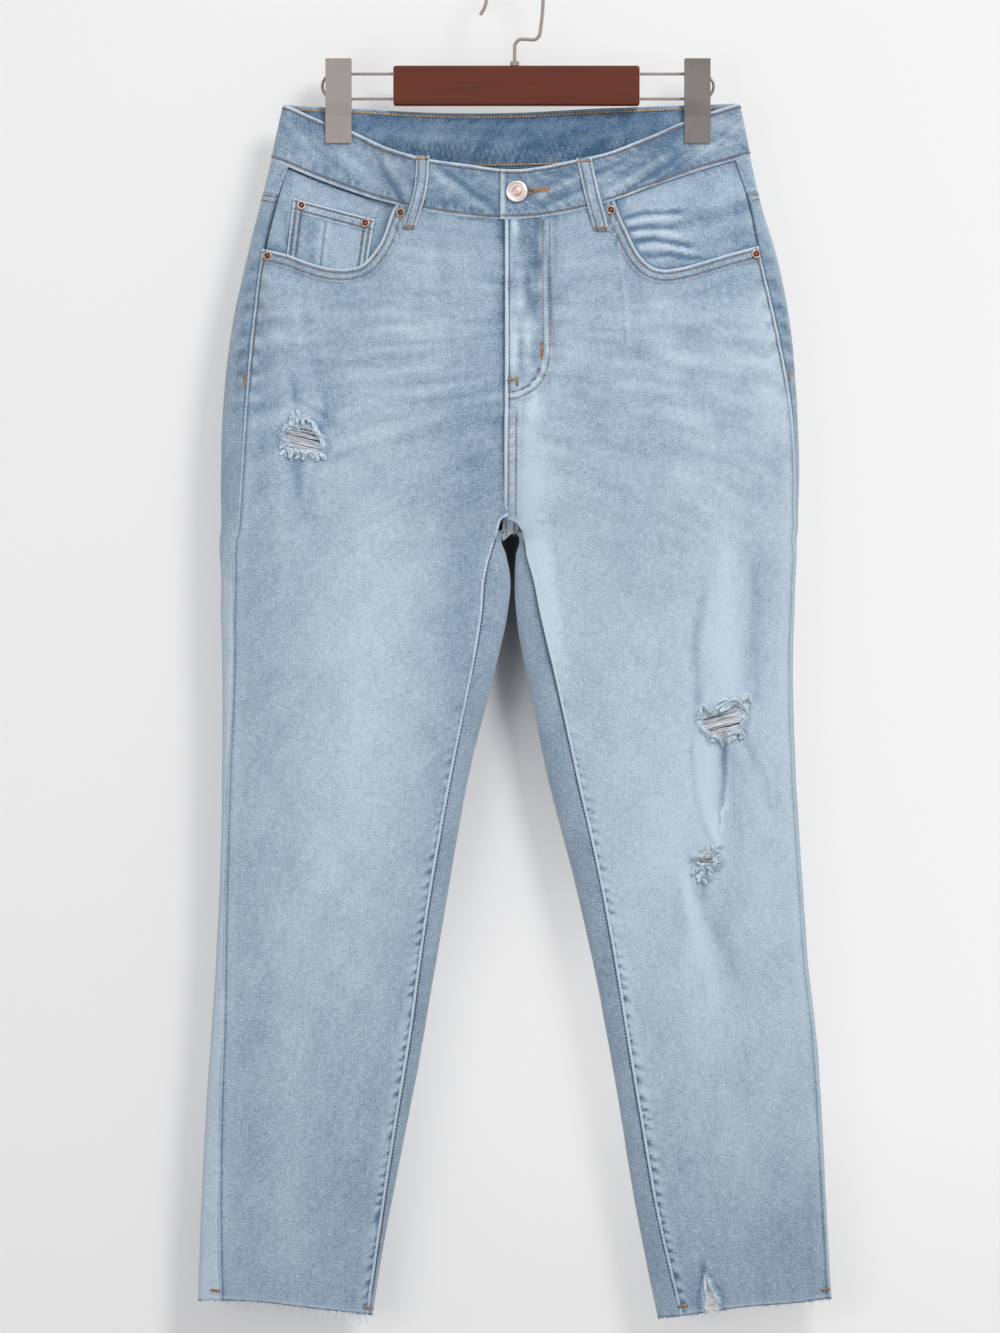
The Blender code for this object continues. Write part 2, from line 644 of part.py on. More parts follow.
def make_back_pocket(side):
    """A patch pocket with a shallow point at its foot."""
    outward_sign = -inward(side)
    shares = np.linspace(0, 1, 7)
    steps = np.linspace(0, 1, 7)[:, None]
    inner = POCKET_INNER[0] + (POCKET_INNER[1] - POCKET_INNER[0]) * steps
    outer = POCKET_OUTER[0] + (POCKET_OUTER[1] - POCKET_OUTER[0]) * steps
    places = CENTRE + outward_sign * (inner + (outer - inner) * shares)
    top = POCKET_TOP[0] + (POCKET_TOP[1] - POCKET_TOP[0]) * shares
    foot = POCKET_FOOT + POCKET_POINT * (1 - np.abs(2 * shares - 1))
    drops = top + (foot - top) * steps
    lift = CLOTH / 2 + PLY_GAP + POCKET_PLY / 2
    return add_sheet("back_pocket_" + side, on_back(side, places, drops, lift), POCKET_PLY)


def make_zip():
    """The plain tape of the closure, behind the lapped fronts."""
    shares = np.linspace(0, 1, 3)
    steps = np.linspace(0, 1, 8)[:, None]
    drops = ZIP_DROPS[0] + (ZIP_DROPS[1] - ZIP_DROPS[0]) * steps + 0 * shares
    places = CENTRE + ZIP_START + ZIP_WIDTH * shares + 0 * steps
    depth = (CLOTH + SEAM_GAP) / 2 + CLOTH / 2 + PLY_GAP + ZIP_TAPE / 2
    return add_sheet("zip", on_front("l", places, drops, -depth), ZIP_TAPE, TAPE)


# ---- waistband and loops --------------------------------------------------------------------
def band_turns(side):
    """Turns of the band's columns on one half, from the centre front round to the centre back.
    They are the columns of the pieces sewn to it: the front, the facing and the yoke."""
    turns, drops = front_grid(side)
    front = turns[0][drops[0] <= across(BAND_FOOT_FRONT, form(side, turns[0], drops[0])[:, 0])
                     + SEAM_GAP + 0.01]
    front = front[front < math.pi / 2]
    places, drops = facing_grid(side)
    facing = turn_at(side, places[0], drops[0])
    facing = facing[facing < front.min() - 0.01]
    yoke = yoke_grid(side)[0][0]
    yoke = yoke[yoke < facing.min() - 0.01]
    return np.concatenate((np.sort(front)[::-1], np.sort(facing)[::-1], np.sort(yoke)[::-1]))


def band_points(side, turns, lift_over):
    """Points of a stretch of the band at the given turns, moved out as lift_over says over x."""
    steps = np.linspace(0, 1, 3)[:, None]
    on_the_front = turns > 0
    drops = np.full((3, len(turns)), 150.0)
    for _ in range(6):
        x = form(side, turns + 0 * drops, drops)[..., 0]
        top = band_top(x[0], on_the_front)
        drops = top + (band_foot(x[-1], on_the_front) - top) * steps
    lift = lift_over(x) * on_the_front
    return lifted(side, turns + 0 * drops, drops, lift)


def make_waistband():
    """One long strip.  Its under end starts beyond the button, and it runs round the wearer's
    right side, the back and the left side to the upper end, which laps over the start."""
    over = (BAND + SEAM_GAP) / 2
    left = band_turns("l")
    left_x = form("l", left, BAND_SEAM_DROP)[:, 0]
    crossed = np.concatenate(((UNDER_END,), left_x[left_x < UNDER_END - 3][::-1], (CENTRE,)))
    crossed = np.sort(crossed)[::-1]
    right = np.concatenate((turn_at("r", crossed, BAND_SEAM_DROP), band_turns("r")))
    ending = turn_at("l", np.array((CENTRE, UPPER_END)), BAND_SEAM_DROP)
    first = band_points("r", right, lambda x: -over * smoothstep(x, *UNDER_EASE))
    left = np.concatenate((left[:-1][::-1], ending))
    second = band_points("l", left, lambda x: over * (1 - smoothstep(x, *UPPER_EASE)))
    return add_sheet("waistband", np.concatenate((first, second), axis=1), BAND)


def make_loop(name, place, side, route, width):
    """A belt loop: a strip along (x, drop) rows that stands off the band between its ends."""
    route = np.array(route, float)
    steps = np.linspace(0, 1, 9)[:, None]
    drops = route[0, 1] + (route[-1, 1] - route[0, 1]) * steps
    middle = smooth_line(drops, route[:, 1], route[:, 0])
    places = middle + width * np.array((-0.5, 0.0, 0.5))
    bow = LOOP_BOW * np.sin(math.pi * steps)
    lift = BAND / 2 + PLY_GAP + LOOP_PLY / 2 + bow + 0 * places
    points = place(side, places, drops + 0 * places, lift)
    return add_sheet(name, points, LOOP_PLY)


def make_loops():
    for name, place, side, route, width in LOOPS:
        make_loop("belt_loop_" + name, on_front if place == "front" else on_back, side, route,
                  width)


# ---- fittings on the jeans ------------------------------------------------------------------
def seat(side, x, drop, lift):
    """Placement with +Z along the cloth's outward normal at a point of the front."""
    point = on_front(side, np.array(x), np.array(drop), lift) * MM
    normal = Vector(outward(side, turn_at(side, np.array(x), np.array(drop)), np.array(drop)))
    return Matrix.Translation(point) @ normal.to_track_quat("Z", "X").to_matrix().to_4x4()


def make_rivets():
    for name, side, x, drop, base in RIVETS:
        rivet = add_object("rivet_" + name, new_mesh("rivet_" + name, turned(RIVET_PROFILE, 16)),
                           COPPER, 0.35, 1.0)
        rivet.matrix_world = seat(side, x, drop, base + PLY_GAP)


def make_button():
    """A shank button: its foot stands on the band's under end, inside the buttonhole."""
    foot = -(BAND + SEAM_GAP) / 2 + BAND / 2 + PLY_GAP
    shank = (BAND + SEAM_GAP) / 2 + BAND / 2 + BUTTON_STAND - foot
    head = [(radius, shank + height) for radius, height in BUTTON_HEAD]
    profile = [(0, 0), (SHANK_RADIUS, 0), (SHANK_RADIUS, shank), *head]
    button = add_object("button", new_mesh("button", turned(profile, 24)), COPPER, 0.3, 1.0)
    button.matrix_world = seat("l", BUTTON_X, BUTTON_DROP, foot)


# ---- rips, nick and buttonhole --------------------------------------------------------------
def add_cutter(name, target, mesh):
    cutter = bpy.data.objects.new("cutter_" + name, mesh)
    bpy.context.scene.collection.objects.link(cutter)
    cutter.hide_render = True
    cutter.display_type = "WIRE"
    cut = target.modifiers.new(name, "BOOLEAN")
    cut.operation = "DIFFERENCE"
    cut.solver = "EXACT"
    cut.object = cutter
    return cutter


def prism(outline, near, far):
    """A prism along Y over an outline of (x, drop) points."""
    return loft([[(x, y, -drop) for x, drop in outline] for y in (near, far)])


def cut_rips(fronts):
    for row in RIPS:
        rip = dict(zip(RIP_COLUMNS, row))
        angles = np.linspace(0, 2 * math.pi, 12, endpoint=False)
        wide = rip["width"] / 2 * np.cos(angles)
        tall = rip["height"] / 2 * np.sin(angles)
        lean = math.radians(rip["tilt"])
        x = rip["x"] + wide * math.cos(lean) - tall * math.sin(lean)
        drop = rip["drop"] - wide * math.sin(lean) - tall * math.cos(lean)
        hole = prism(list(zip(x, drop)), -70.0, 0.0)
        add_cutter(rip["name"], fronts[rip["side"]], new_mesh(rip["name"], hole))
    add_cutter("nick", fronts["l"], new_mesh("nick", prism(NICK, -70.0, -1.0)))


def cut_buttonhole(band):
    """A keyhole through the upper end only: a round eye for the shank and a slot beside it."""
    eye = SHANK_RADIUS + PLY_GAP
    mouth = math.asin(BUTTONHOLE_HALF / eye)
    arc = np.linspace(mouth, 2 * math.pi - mouth, 11)
    outline = [(eye * math.cos(a), eye * math.sin(a)) for a in arc]
    slot_end = [(BUTTONHOLE_LENGTH, -BUTTONHOLE_HALF), (BUTTONHOLE_LENGTH, BUTTONHOLE_HALF)]
    outline = outline + slot_end
    middle = (BAND + SEAM_GAP) / 2
    bottom = middle - BAND / 2 - SEAM_GAP / 2
    top = middle + BAND / 2 + 1.0
    bm = loft([[(x, y, height) for x, y in outline] for height in (bottom, top)])
    cutter = add_cutter("buttonhole", band, new_mesh("buttonhole", bm))
    place = seat("l", BUTTON_X, BUTTON_DROP, 0.0)
    level = Vector((1, 0, 0))
    up = (place.to_3x3() @ Vector((0, 0, 1))).normalized()
    along = (level - up * level.dot(up)).normalized()
    turn = Matrix((along, up.cross(along), up)).transposed()
    cutter.matrix_world = Matrix.Translation(place.translation) @ turn.to_4x4()


# ---- hanger ---------------------------------------------------------------------------------
def smooth_route(points, per_span):
    """Points on a smooth curve through a route's (x, drop) points."""
    points = np.array(points, float)
    spans = np.linalg.norm(np.diff(points, axis=0), axis=1)
    at = np.concatenate(((0.0,), np.cumsum(spans)))
    fine = np.concatenate([np.linspace(a, b, per_span, endpoint=False)
                           for a, b in zip(at, at[1:])] + [at[-1:]])
    return np.stack((smooth_line(fine, at, points[:, 0]), smooth_line(fine, at, points[:, 1])),
                    axis=-1)


def in_plane(route):
    """(x, drop) points as places in the plane Y = 0."""
    return [(x, 0.0, -drop) for x, drop in route]


def make_hook():
    """The wire rises from the ferrule, jogs to the side, and arches over the rail."""
    arch = HOOK_RADIUS + HOOK_WIRE
    turns = np.radians(np.linspace(0, HOOK_ARC, 25))
    bow = np.stack((arch * np.cos(turns), HOOK_RADIUS - arch * np.sin(turns)), axis=-1)
    route = np.concatenate((smooth_route(HOOK_NECK, 3), bow, HOOK_TIP))
    mesh = new_mesh("hanger_hook", tube(in_plane(route), HOOK_WIRE), 60)
    add_object("hanger_hook", mesh, NICKEL, 0.3, 1.0)
    ferrule = add_object("hook_ferrule", new_mesh("hook_ferrule", turned(FERRULE, 20)), NICKEL,
                         0.3, 1.0)
    ferrule.location = (HOOK_NECK[0][0] * MM, 0, (PLY_GAP - BAR_TOP) * MM)


def make_bar():
    bm = bmesh.new()
    bmesh.ops.create_cube(bm, size=1.0)
    bmesh.ops.scale(bm, vec=BAR_SIZE, verts=bm.verts)
    bar = add_object("hanger_bar", new_mesh("hanger_bar", bm), WOOD, 0.35)
    bar.location = (BAR_CENTRE[0] * MM, 0, -BAR_CENTRE[1] * MM)
    edge = bar.modifiers.new("rounded edge", "BEVEL")
    edge.width = BAR_EDGE * MM
    edge.segments = 3


def make_wire(side):
    """One wire bent double: both of its ends stand in the end of the bar."""
    outward_sign = -inward(side)
    start = BAR_CENTRE[0] + outward_sign * (BAR_SIZE[0] / 2 + PLY_GAP)
    radius = (WIRE_DROPS[1] - WIRE_DROPS[0]) / 2
    middle = sum(WIRE_DROPS) / 2
    bend_x = WIRE_REACH[side] - outward_sign * radius
    turns = np.radians(np.linspace(-90, 90, 9))
    bend = [(bend_x + outward_sign * radius * math.cos(a), middle + radius * math.sin(a))
            for a in turns]
    route = [(start, WIRE_DROPS[0]), *bend, (start, WIRE_DROPS[1])]
    mesh = new_mesh("wire_" + side, tube(in_plane(route), WIRE_RADIUS), 60)
    add_object("wire_" + side, mesh, NICKEL, 0.3, 1.0)


def make_clip_plate(side, name, facing):
    """A pressed channel whose flanges rest on the wires and whose foot grips the band."""
    half = CLIP_WIDTH / 2
    sections = []
    for drop, plate, rim in CLIP_SECTIONS:
        outline = ((-half, rim), (-half, plate + CLIP_SHEET), (half, plate + CLIP_SHEET),
                   (half, rim), (half - CLIP_SHEET, rim), (half - CLIP_SHEET, plate),
                   (CLIP_SHEET - half, plate), (CLIP_SHEET - half, rim))
        sections.append([(CLIP_X[side] + x, facing * y, -drop) for x, y in outline])
    obj_name = f"clip_{name}_{side}"
    add_object(obj_name, new_mesh(obj_name, loft(sections), 30), NICKEL, 0.35, 1.0)


def make_clip_pin(side):
    length = CLIP_WIDTH - 2 * CLIP_SHEET - 2 * PLY_GAP
    bm = bmesh.new()
    bmesh.ops.create_cone(bm, cap_ends=True, segments=16, radius1=PIN_RADIUS, radius2=PIN_RADIUS,
                          depth=length)
    pin = add_object("clip_pin_" + side, new_mesh("clip_pin_" + side, bm), NICKEL, 0.35, 1.0)
    pin.rotation_euler = (0, math.pi / 2, 0)
    pin.location = (CLIP_X[side] * MM, 0, -sum(WIRE_DROPS) / 2 * MM)


def main():
    clear_scene()
    fronts = {side: make_front(side) for side in ("r", "l")}
    for side in ("r", "l"):
        make_back(side)
        make_yoke(side)
        make_facing(side)
        make_back_pocket(side)
    make_coin_pocket()
    make_zip()
    band = make_waistband()
    make_loops()
    make_rivets()
    make_button()
    cut_rips(fronts)
    cut_buttonhole(band)
    make_bar()
    make_hook()
    for side in ("r", "l"):
        make_wire(side)
        make_clip_plate(side, "front", -1)
        make_clip_plate(side, "back", 1)
        make_clip_pin(side)


main()
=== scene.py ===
"""Looks of the ripped jeans on a clip hanger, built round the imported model.

Tables and shapes are in millimetres and become metres when a mesh is made.  The front faces -Y,
the wearer's right ("r") is at -X, and a drop is a distance below the inside of the hook.

All cloth lies on one form, a flattened tube for each leg that opens into one above the crotch.
A place on it is a turn round the tube, from its outer edge, and a drop.  Every piece of cloth is
a grid on that form, moved along its normals by the relief: its folds, seam ridges and puckers.
"""
import math

import bpy
import numpy as np
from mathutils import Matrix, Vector


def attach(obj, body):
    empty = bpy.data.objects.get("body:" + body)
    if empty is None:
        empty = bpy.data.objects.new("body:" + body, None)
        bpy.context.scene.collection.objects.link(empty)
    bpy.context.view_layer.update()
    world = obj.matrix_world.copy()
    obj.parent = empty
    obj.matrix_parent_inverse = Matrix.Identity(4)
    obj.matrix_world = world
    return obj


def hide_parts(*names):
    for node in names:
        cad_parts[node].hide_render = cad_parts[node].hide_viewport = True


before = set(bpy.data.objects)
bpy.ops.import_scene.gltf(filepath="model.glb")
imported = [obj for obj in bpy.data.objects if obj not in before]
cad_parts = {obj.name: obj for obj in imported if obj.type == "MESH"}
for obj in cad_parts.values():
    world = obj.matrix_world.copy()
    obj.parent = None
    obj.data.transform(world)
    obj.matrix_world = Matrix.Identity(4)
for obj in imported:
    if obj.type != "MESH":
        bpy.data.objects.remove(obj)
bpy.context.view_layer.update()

MM = 0.001

# ---- the form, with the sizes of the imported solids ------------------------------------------
CENTRE = -3.5            # x of the centre seams
CROTCH = 452.0           # drop at which the form parts into two legs
FORK = 110.0             # height of the crotch seam's curve above that
ROUNDNESS = 2.6          # power of the sections' ovals, 2 being an ellipse
CLOTH = 1.2              # wall of the denim, and of the doubled waistband
BAND = 2.2
FLY_LAP = 4.0            # how far the left front laps past the centre
FLY_EASE = (4.0, 16.0)   # distances from the centre over which it stands off the form
LAP_FADE = (432.0, 450.0)     # drops over which the left front stops lapping over the right
# Where the fronts end at the crotch: their inseams meet in an arch, given as drop and x.
ARCH = {"r": ((430, -1.5), (438, -2.0), (441.5, -5.0), (443, -9.4), (446, -11.6), (450, -12.8),
              (455, -14.0), (462, -16.0), (474, -19.6)),
        "l": ((430, -7.5), (438, -7.6), (441.5, -7.8), (443, -6.4), (445, 0.5), (447, 3.6),
              (450, 5.8), (455, 8.0), (462, 9.2), (474, 11.0))}
# X of the ends of the waistband, and where each starts to leave the form.
UPPER_END = -11.6
UNDER_END = 20.0
UPPER_EASE = (25.0, 46.0)
UNDER_EASE = (-58.0, -22.0)
OVERLAP = 1.3            # distance of either end of the band from the form where they overlap
# The clips press the band flat: half the band's depth there, half the flat's width, how far
# beside it the form swells again, and the same downwards from the foot of the clips.
PINCH_HALF = 1.7
PINCH_FLAT = 18.0
PINCH_EASE = 26.0
PINCH_FOOT = 146.0
PINCH_FADE = 60.0
CLIP_X = {"r": -141.2, "l": 146.8}

# Sections of the legs.  Each row has a drop and the depths in front and behind, then for the right
# and the left leg x of the outer edge, how far inside it the side seam lies, how far inside the
# inner edge the inseam lies, and x of the inner edge.
LEG_COLUMNS = ("drop", "front", "back", "outer", "side", "inseam", "inner")
LEG_ROWS = (
    (100, 27, 8, (-182, 10, 0.0, -3.5), (178, 9, 0.0, -3.5)),
    (150, 29, 10, (-193, 15, 0.0, -3.5), (188, 12, 0.0, -3.5)),
    (190, 31, 14, (-203, 12, 0.0, -3.5), (197, 9, 0.0, -3.5)),
    (230, 31, 20, (-213, 12, 0.0, -3.5), (209, 13, 0.0, -3.5)),
    (290, 30, 25, (-226, 16, 0.0, -3.5), (221, 11, 0.0, -3.5)),
    (350, 29, 28, (-233, 18, 0.0, -3.5), (226, 5, 0.0, -3.5)),
    (410, 27, 27, (-235, 16, 0.0, -3.5), (228, 3, 0.0, -3.5)),
    (441, 26, 26, (-235, 14, 0.0, -4.1), (227, 2, 0.0, -2.9)),
    (452, 25, 25, (-235, 13, 0.2, -4.7), (227, 2, 0.2, -2.3)),
    (459, 25, 25, (-236, 12, 3.5, -9.5), (226, 2, 3.5, 3)),
    (472, 24, 25, (-236, 11, 11.5, -7.5), (226, 1, 8, 2)),
    (490, 24, 24, (-235, 10, 19, -4.3), (225, 1, 13.9, 1.2)),
    (520, 23, 24, (-235, 9, 19.5, -6.5), (224, 1, 18.5, 2.4)),
    (560, 23, 23, (-234, 8, 17.2, -15.1), (223, 1, 21.4, 8.6)),
    (640, 21, 22, (-234, 5, 13.2, -35.2), (225, 1, 22.5, 25)),
    (740, 20, 20, (-236, 4, 12.8, -53.5), (231, 1, 19, 50.5)),
    (800, 19, 20, (-239, 6, 11.5, -63.7), (235, 1, 16.5, 64)),
    (860, 19, 19, (-243, 9, 9.6, -73.7), (242, 1, 14.6, 75.5)),
    (920, 18, 18, (-247, 11, 8, -85.2), (246, 1, 14.6, 85.5)),
    (1000, 17, 17, (-251, 14, 5, -100.5), (250, 1, 15.4, 98.5)),
    (1090, 16, 17, (-254, 19, 1.8, -116.5), (255, 1, 17.8, 117)),
)

BAND_LEVEL = 204.0       # drop at which places round the band's foot are read
# Edges and seams that run across, as (x, drop) rows.
BAND_TOP_FRONT = ((-184, 111), (-152, 125), (-131, 132), (-100, 147), (-77, 154.5), (-36, 161),
                  (0, 165), (49, 157), (75, 151), (100, 141), (135, 125), (157, 117), (180, 110))
BAND_FOOT_FRONT = ((-195, 156), (-167, 167.5), (-136, 179.5), (-105, 190), (-72, 198),
                   (-13, 205), (25, 203), (59, 196), (86, 187.5), (110, 178), (140, 167),
                   (188, 153))
BAND_TOP_BACK = ((-184, 111), (-172, 112), (-130, 114), (-91, 116), (-52, 117.3), (0, 117),
                 (68, 113.5), (135, 111.5), (180, 110))
BAND_FOOT_BACK = ((-195, 156), (-130, 156), (-52, 162), (0, 162), (68, 159), (135, 155),
                  (188, 153))
YOKE_FOOT = ((-205, 181), (-120, 199), (-60, 214), (CENTRE, 228), (60, 214), (120, 197),
             (200, 180))
SCOOP = {
    "r": ((-205, 227), (-180, 233), (-164, 239), (-148, 243.5), (-132, 244), (-121, 240.5),
          (-112, 231), (-104, 217.5), (-100, 205.5), (-95, 193)),
    "l": ((80, 188), (83, 199), (90, 215), (98, 231), (107, 241), (117, 244.8), (132, 243.5),
          (152, 238), (175, 231), (197, 225)),
}
HEM = {
    "r": ((-254, 1069.5), (-234, 1069.5), (-203, 1071), (-172, 1074.5), (-115, 1081.5)),
    "l": ((115, 1084), (134, 1082), (186, 1074.5), (220, 1072), (255, 1068)),
}

# The large folds that the solids have too.  Each is a soft bell across its line: half width,
# height (negative for a trough), the (x, drop) points that it follows and, where it is lopsided,
# its lean: how much wider it is on its right side than on its left.
FRONT_FOLDS = (
    (15, 3, ((14, 380), (26, 545))), (14, 3.5, ((166, 485), (168, 585))),
    (13, -3, ((192, 440), (195, 580))), (13, 2.5, ((153, 620), (160, 700))),
    (13, -3, ((150, 735), (172, 815))), (14, -2, ((-168, 250), (-150, 360))),
)
BACK_FOLDS = (
    (14, -3, ((-105, 418), (-35, 446))), (14, -3, ((100, 420), (28, 446))),
    (15, -2.5, ((-200, 700), (-120, 730))), (15, -2.5, ((125, 715), (210, 690))),
    (16, 2, ((-150, 480), (-138, 620))), (16, 2, ((150, 500), (163, 640))),
)


def smooth_line(at, knots, values):
    """A smooth curve through the knots: on each span a cubic with the knots' mean slopes."""
    knots = np.asarray(knots, float)
    values = np.asarray(values, float)
    slopes = np.gradient(values, knots)
    at = np.clip(at, knots[0], knots[-1])
    cell = np.clip(np.searchsorted(knots, at) - 1, 0, len(knots) - 2)
    width = knots[cell + 1] - knots[cell]
    t = (at - knots[cell]) / width
    start = values[cell] * (1 + 2 * t) * (1 - t) ** 2 + slopes[cell] * width * t * (1 - t) ** 2
    end = values[cell + 1] * t * t * (3 - 2 * t) + slopes[cell + 1] * width * t * t * (t - 1)
    return start + end


def across(rows, x):
    """Drop of an edge or seam at x, from its (x, drop) rows."""
    table = np.array(rows, float)
    return smooth_line(np.asarray(x, float), table[:, 0], table[:, 1])


def leg(side, name, drop):
    """One column of a leg's sections, read at a drop."""
    half = 3 if side == "r" else 4
    table = np.array([row[:3] + row[half] for row in LEG_ROWS], float)
    return smooth_line(np.asarray(drop, float), table[:, 0], table[:, LEG_COLUMNS.index(name)])


def smoothstep(value, low, high):
    """0 up to low and 1 from high on, with an S curve between them."""
    t = np.clip((np.asarray(value, float) - low) / (high - low), 0, 1)
    return t * t * (3 - 2 * t)


def oval(value):
    """A cosine or sine as it is on a flattened oval: its size to the power 2 / ROUNDNESS."""
    return np.sign(value) * np.abs(value) ** (2 / ROUNDNESS)



def sweep(drop):
    """Turn at which a section reaches the centre seam: half a turn from the crotch down, a
    quarter above the fork, and between them the crotch seam's quarter circle in side view."""
    rise = np.clip((CROTCH - np.asarray(drop, float)) / FORK, 0, 1)
    depth = np.sqrt(1 - (1 - rise) ** 2)
    return math.pi - np.arcsin(depth ** (ROUNDNESS / 2))


def turn_at(side, x, drop):
    """Turn of the front's point with this x."""
    outer = leg(side, "outer", drop)
    reach = (x - outer) / (leg(side, "inner", drop) - outer)
    c = np.clip(1 - reach * (1 - oval(np.cos(sweep(drop)))), -1, 1)
    return np.arccos(np.sign(c) * np.abs(c) ** (ROUNDNESS / 2))


def pinch(x, drop):
    """How far the clips press the cloth flat here, from 0 to 1."""
    amount = 0.0
    for centre in CLIP_X.values():
        beside = np.maximum(np.abs(x - centre) - PINCH_FLAT, 0) / PINCH_EASE
        amount = amount + np.exp(-beside ** 2)
    below = np.maximum(drop - PINCH_FOOT, 0) / PINCH_FADE
    return np.clip(amount, 0, 1) * np.exp(-below ** 2)


PAST_END = 0.4           # how slowly a crease fades past its ends, beside how it fades sideways


def creases(rows, x, drop):
    """Summed height of a table of creases: each falls off as a bell with the distance from its
    line, and beyond the line's ends less quickly."""
    total = np.zeros(np.broadcast(x, drop).shape)
    for half_width, height, line, *lean in rows:
        nearest = np.full(total.shape, np.inf)
        last = len(line) - 2
        for i, (a, b) in enumerate(zip(line, line[1:])):
            run = np.subtract(b, a)
            length = math.hypot(*run)
            along = ((x - a[0]) * run[0] + (drop - a[1]) * run[1]) / length
            beside = ((x - a[0]) * run[1] - (drop - a[1]) * run[0]) / length
            before = np.minimum(along, 0) * (PAST_END if i == 0 else 1.0)
            after = np.maximum(along - length, 0) * (PAST_END if i == last else 1.0)
            wide = half_width * (1 + sum(lean) * np.sign(beside))
            nearest = np.minimum(nearest, (beside ** 2 + before ** 2 + after ** 2) / wide ** 2)
        total += height * np.exp(-nearest)
    return total


def form(side, turn, drop):
    """Points of the cloth's middle surface.  X runs between a section's edges as the cosine of a
    flattened oval, and Y is its sine times the section's depth in front or behind, plus folds."""
    turn, drop = np.broadcast_arrays(np.asarray(turn, float), np.asarray(drop, float))
    outer = leg(side, "outer", drop)
    reach = (1 - oval(np.cos(turn))) / (1 - oval(np.cos(sweep(drop))))
    x = outer + (leg(side, "inner", drop) - outer) * reach
    lift = oval(np.sin(turn))
    flat = pinch(x, drop)
    facing = np.clip(4 * lift, -1, 1)
    front = leg(side, "front", drop) * lift
    back = leg(side, "back", drop) * lift
    y = np.where(lift > 0, front, back) * (1 - flat) + PINCH_HALF * facing * flat
    soft = np.abs(lift) * (1 - flat)
    y = y + soft * np.where(lift > 0, creases(FRONT_FOLDS, x, drop), -creases(BACK_FOLDS, x, drop))
    return np.stack((x, -y, -drop), axis=-1)


def outward(side, turn, drop):
    """Unit normals of the form that point away from the inside of the tube: the cross product
    of a small step round it and a small step down it."""
    step = 0.01
    tall = 0.5
    round_it = form(side, turn + step, drop) - form(side, turn - step, drop)
    down = form(side, turn, drop + tall) - form(side, turn, drop - tall)
    normal = np.cross(down, round_it) if side == "r" else np.cross(round_it, down)
    return normal / np.linalg.norm(normal, axis=-1, keepdims=True)


def lifted(side, turn, drop, height):
    """Points at a height over the form, along its normals, and those normals."""
    normals = outward(side, turn, drop)
    return form(side, turn, drop) + normals * np.asarray(height)[..., None], normals


def inward(side):
    """Sign of the way along X from a side seam to the centre."""
    return 1 if side == "r" else -1


def side_seam_x(side, drop):
    """x of the side seam, at its inset from the leg's outer edge."""
    return leg(side, "outer", drop) + inward(side) * leg(side, "side", drop)


def front_end_x(side, drop):
    """X of a front's inner edge: the lapped centre front, or the inseam below the crotch."""
    inner = leg(side, "inner", drop)
    lap = FLY_LAP if side == "l" else FLY_LAP / 2
    lap = inward(side) * lap * (1 - smoothstep(drop, *LAP_FADE))
    seam = np.where(drop < CROTCH, inner + lap, inner - inward(side) * leg(side, "inseam", drop))
    near = smoothstep(drop, 430, 434) * (1 - smoothstep(drop, 466, 474))
    return seam + (smooth_line(drop, *zip(*ARCH[side])) - seam) * near


# ---- relief: creases, seam ridges and puckers -------------------------------------------------
# Creases that only the cloth here has, in the same columns as the large folds.
FRONT_CREASES = (
    # the right leg, from hip to hem
    (6, -1.2, ((-174, 244), (-165, 300), (-148, 361)), 0.2),
    (6, -1.2, ((-205, 276), (-203, 349))), (8, 1.6, ((-197, 244), (-190, 300), (-180, 366))),
    (3.5, -1.1, ((-176, 342), (-174, 369))), (3.5, -1, ((-173, 349), (-153, 361))),
    (9, -2, ((-178, 400), (-170, 430))), (4, 1.3, ((-164, 398), (-167, 420))),
    (10, -0.8, ((-166, 418), (-160, 445))), (9, 0.9, ((-190, 395), (-186, 440), (-184, 490))),
    (16, -1.2, ((-50, 455), (-46, 590))), (7, -0.7, ((-57, 234), (-52, 295))),
    (7, 0.7, ((-72, 222), (-64, 300))), (14, 0.8, ((-120, 640), (-112, 740))),
    (12, -0.7, ((-185, 650), (-175, 760))), (10, -0.7, ((-205, 850), (-215, 960))),
    (10, 0.6, ((-180, 870), (-190, 990))), (7, -0.6, ((-150, 820), (-165, 905))),
    # the left leg, from hip to hem
    (9, 2.2, ((13, 362), (8.5, 445), (24, 549)), 0.2), (7, -1, ((33, 470), (44, 560))),
    (6, -1.6, ((192, 502), (195, 586))), (6, -1.9, ((150, 512), (144, 545), (147, 583))),
    (9, 1.2, ((168, 480), (170, 582))), (6, 1.6, ((151, 622), (162, 703))),
    (5, -3.8, ((168.5, 620), (168.3, 645), (166.3, 670)), -0.4),
    (3, 1.6, ((145, 632), (147, 660), (151, 683), (159, 699)), 0.3),
    (6, -1.8, ((184, 622), (196, 645), (204, 671))), (5, -0.8, ((172, 655), (180, 700))),
    (8, -1.9, ((148, 735), (155, 765), (172, 800))),
    (7, 1.7, ((136, 738), (146, 780), (158, 818))), (9, -1, ((132, 741), (114, 877))),
    (9, -0.9, ((186, 829), (184, 909))), (6, -1.2, ((236, 869), (238, 1045))),
    (7, 1, ((221, 860), (223, 1030))), (2.5, 0.5, ((84.5, 229), (92.5, 301))),
    (9, -1, ((22, 243), (21, 285))), (12, 0.8, ((120, 300), (128, 400))),
    (9, -0.8, ((205, 330), (214, 430))), (8, -0.7, ((160, 900), (150, 985))),
)
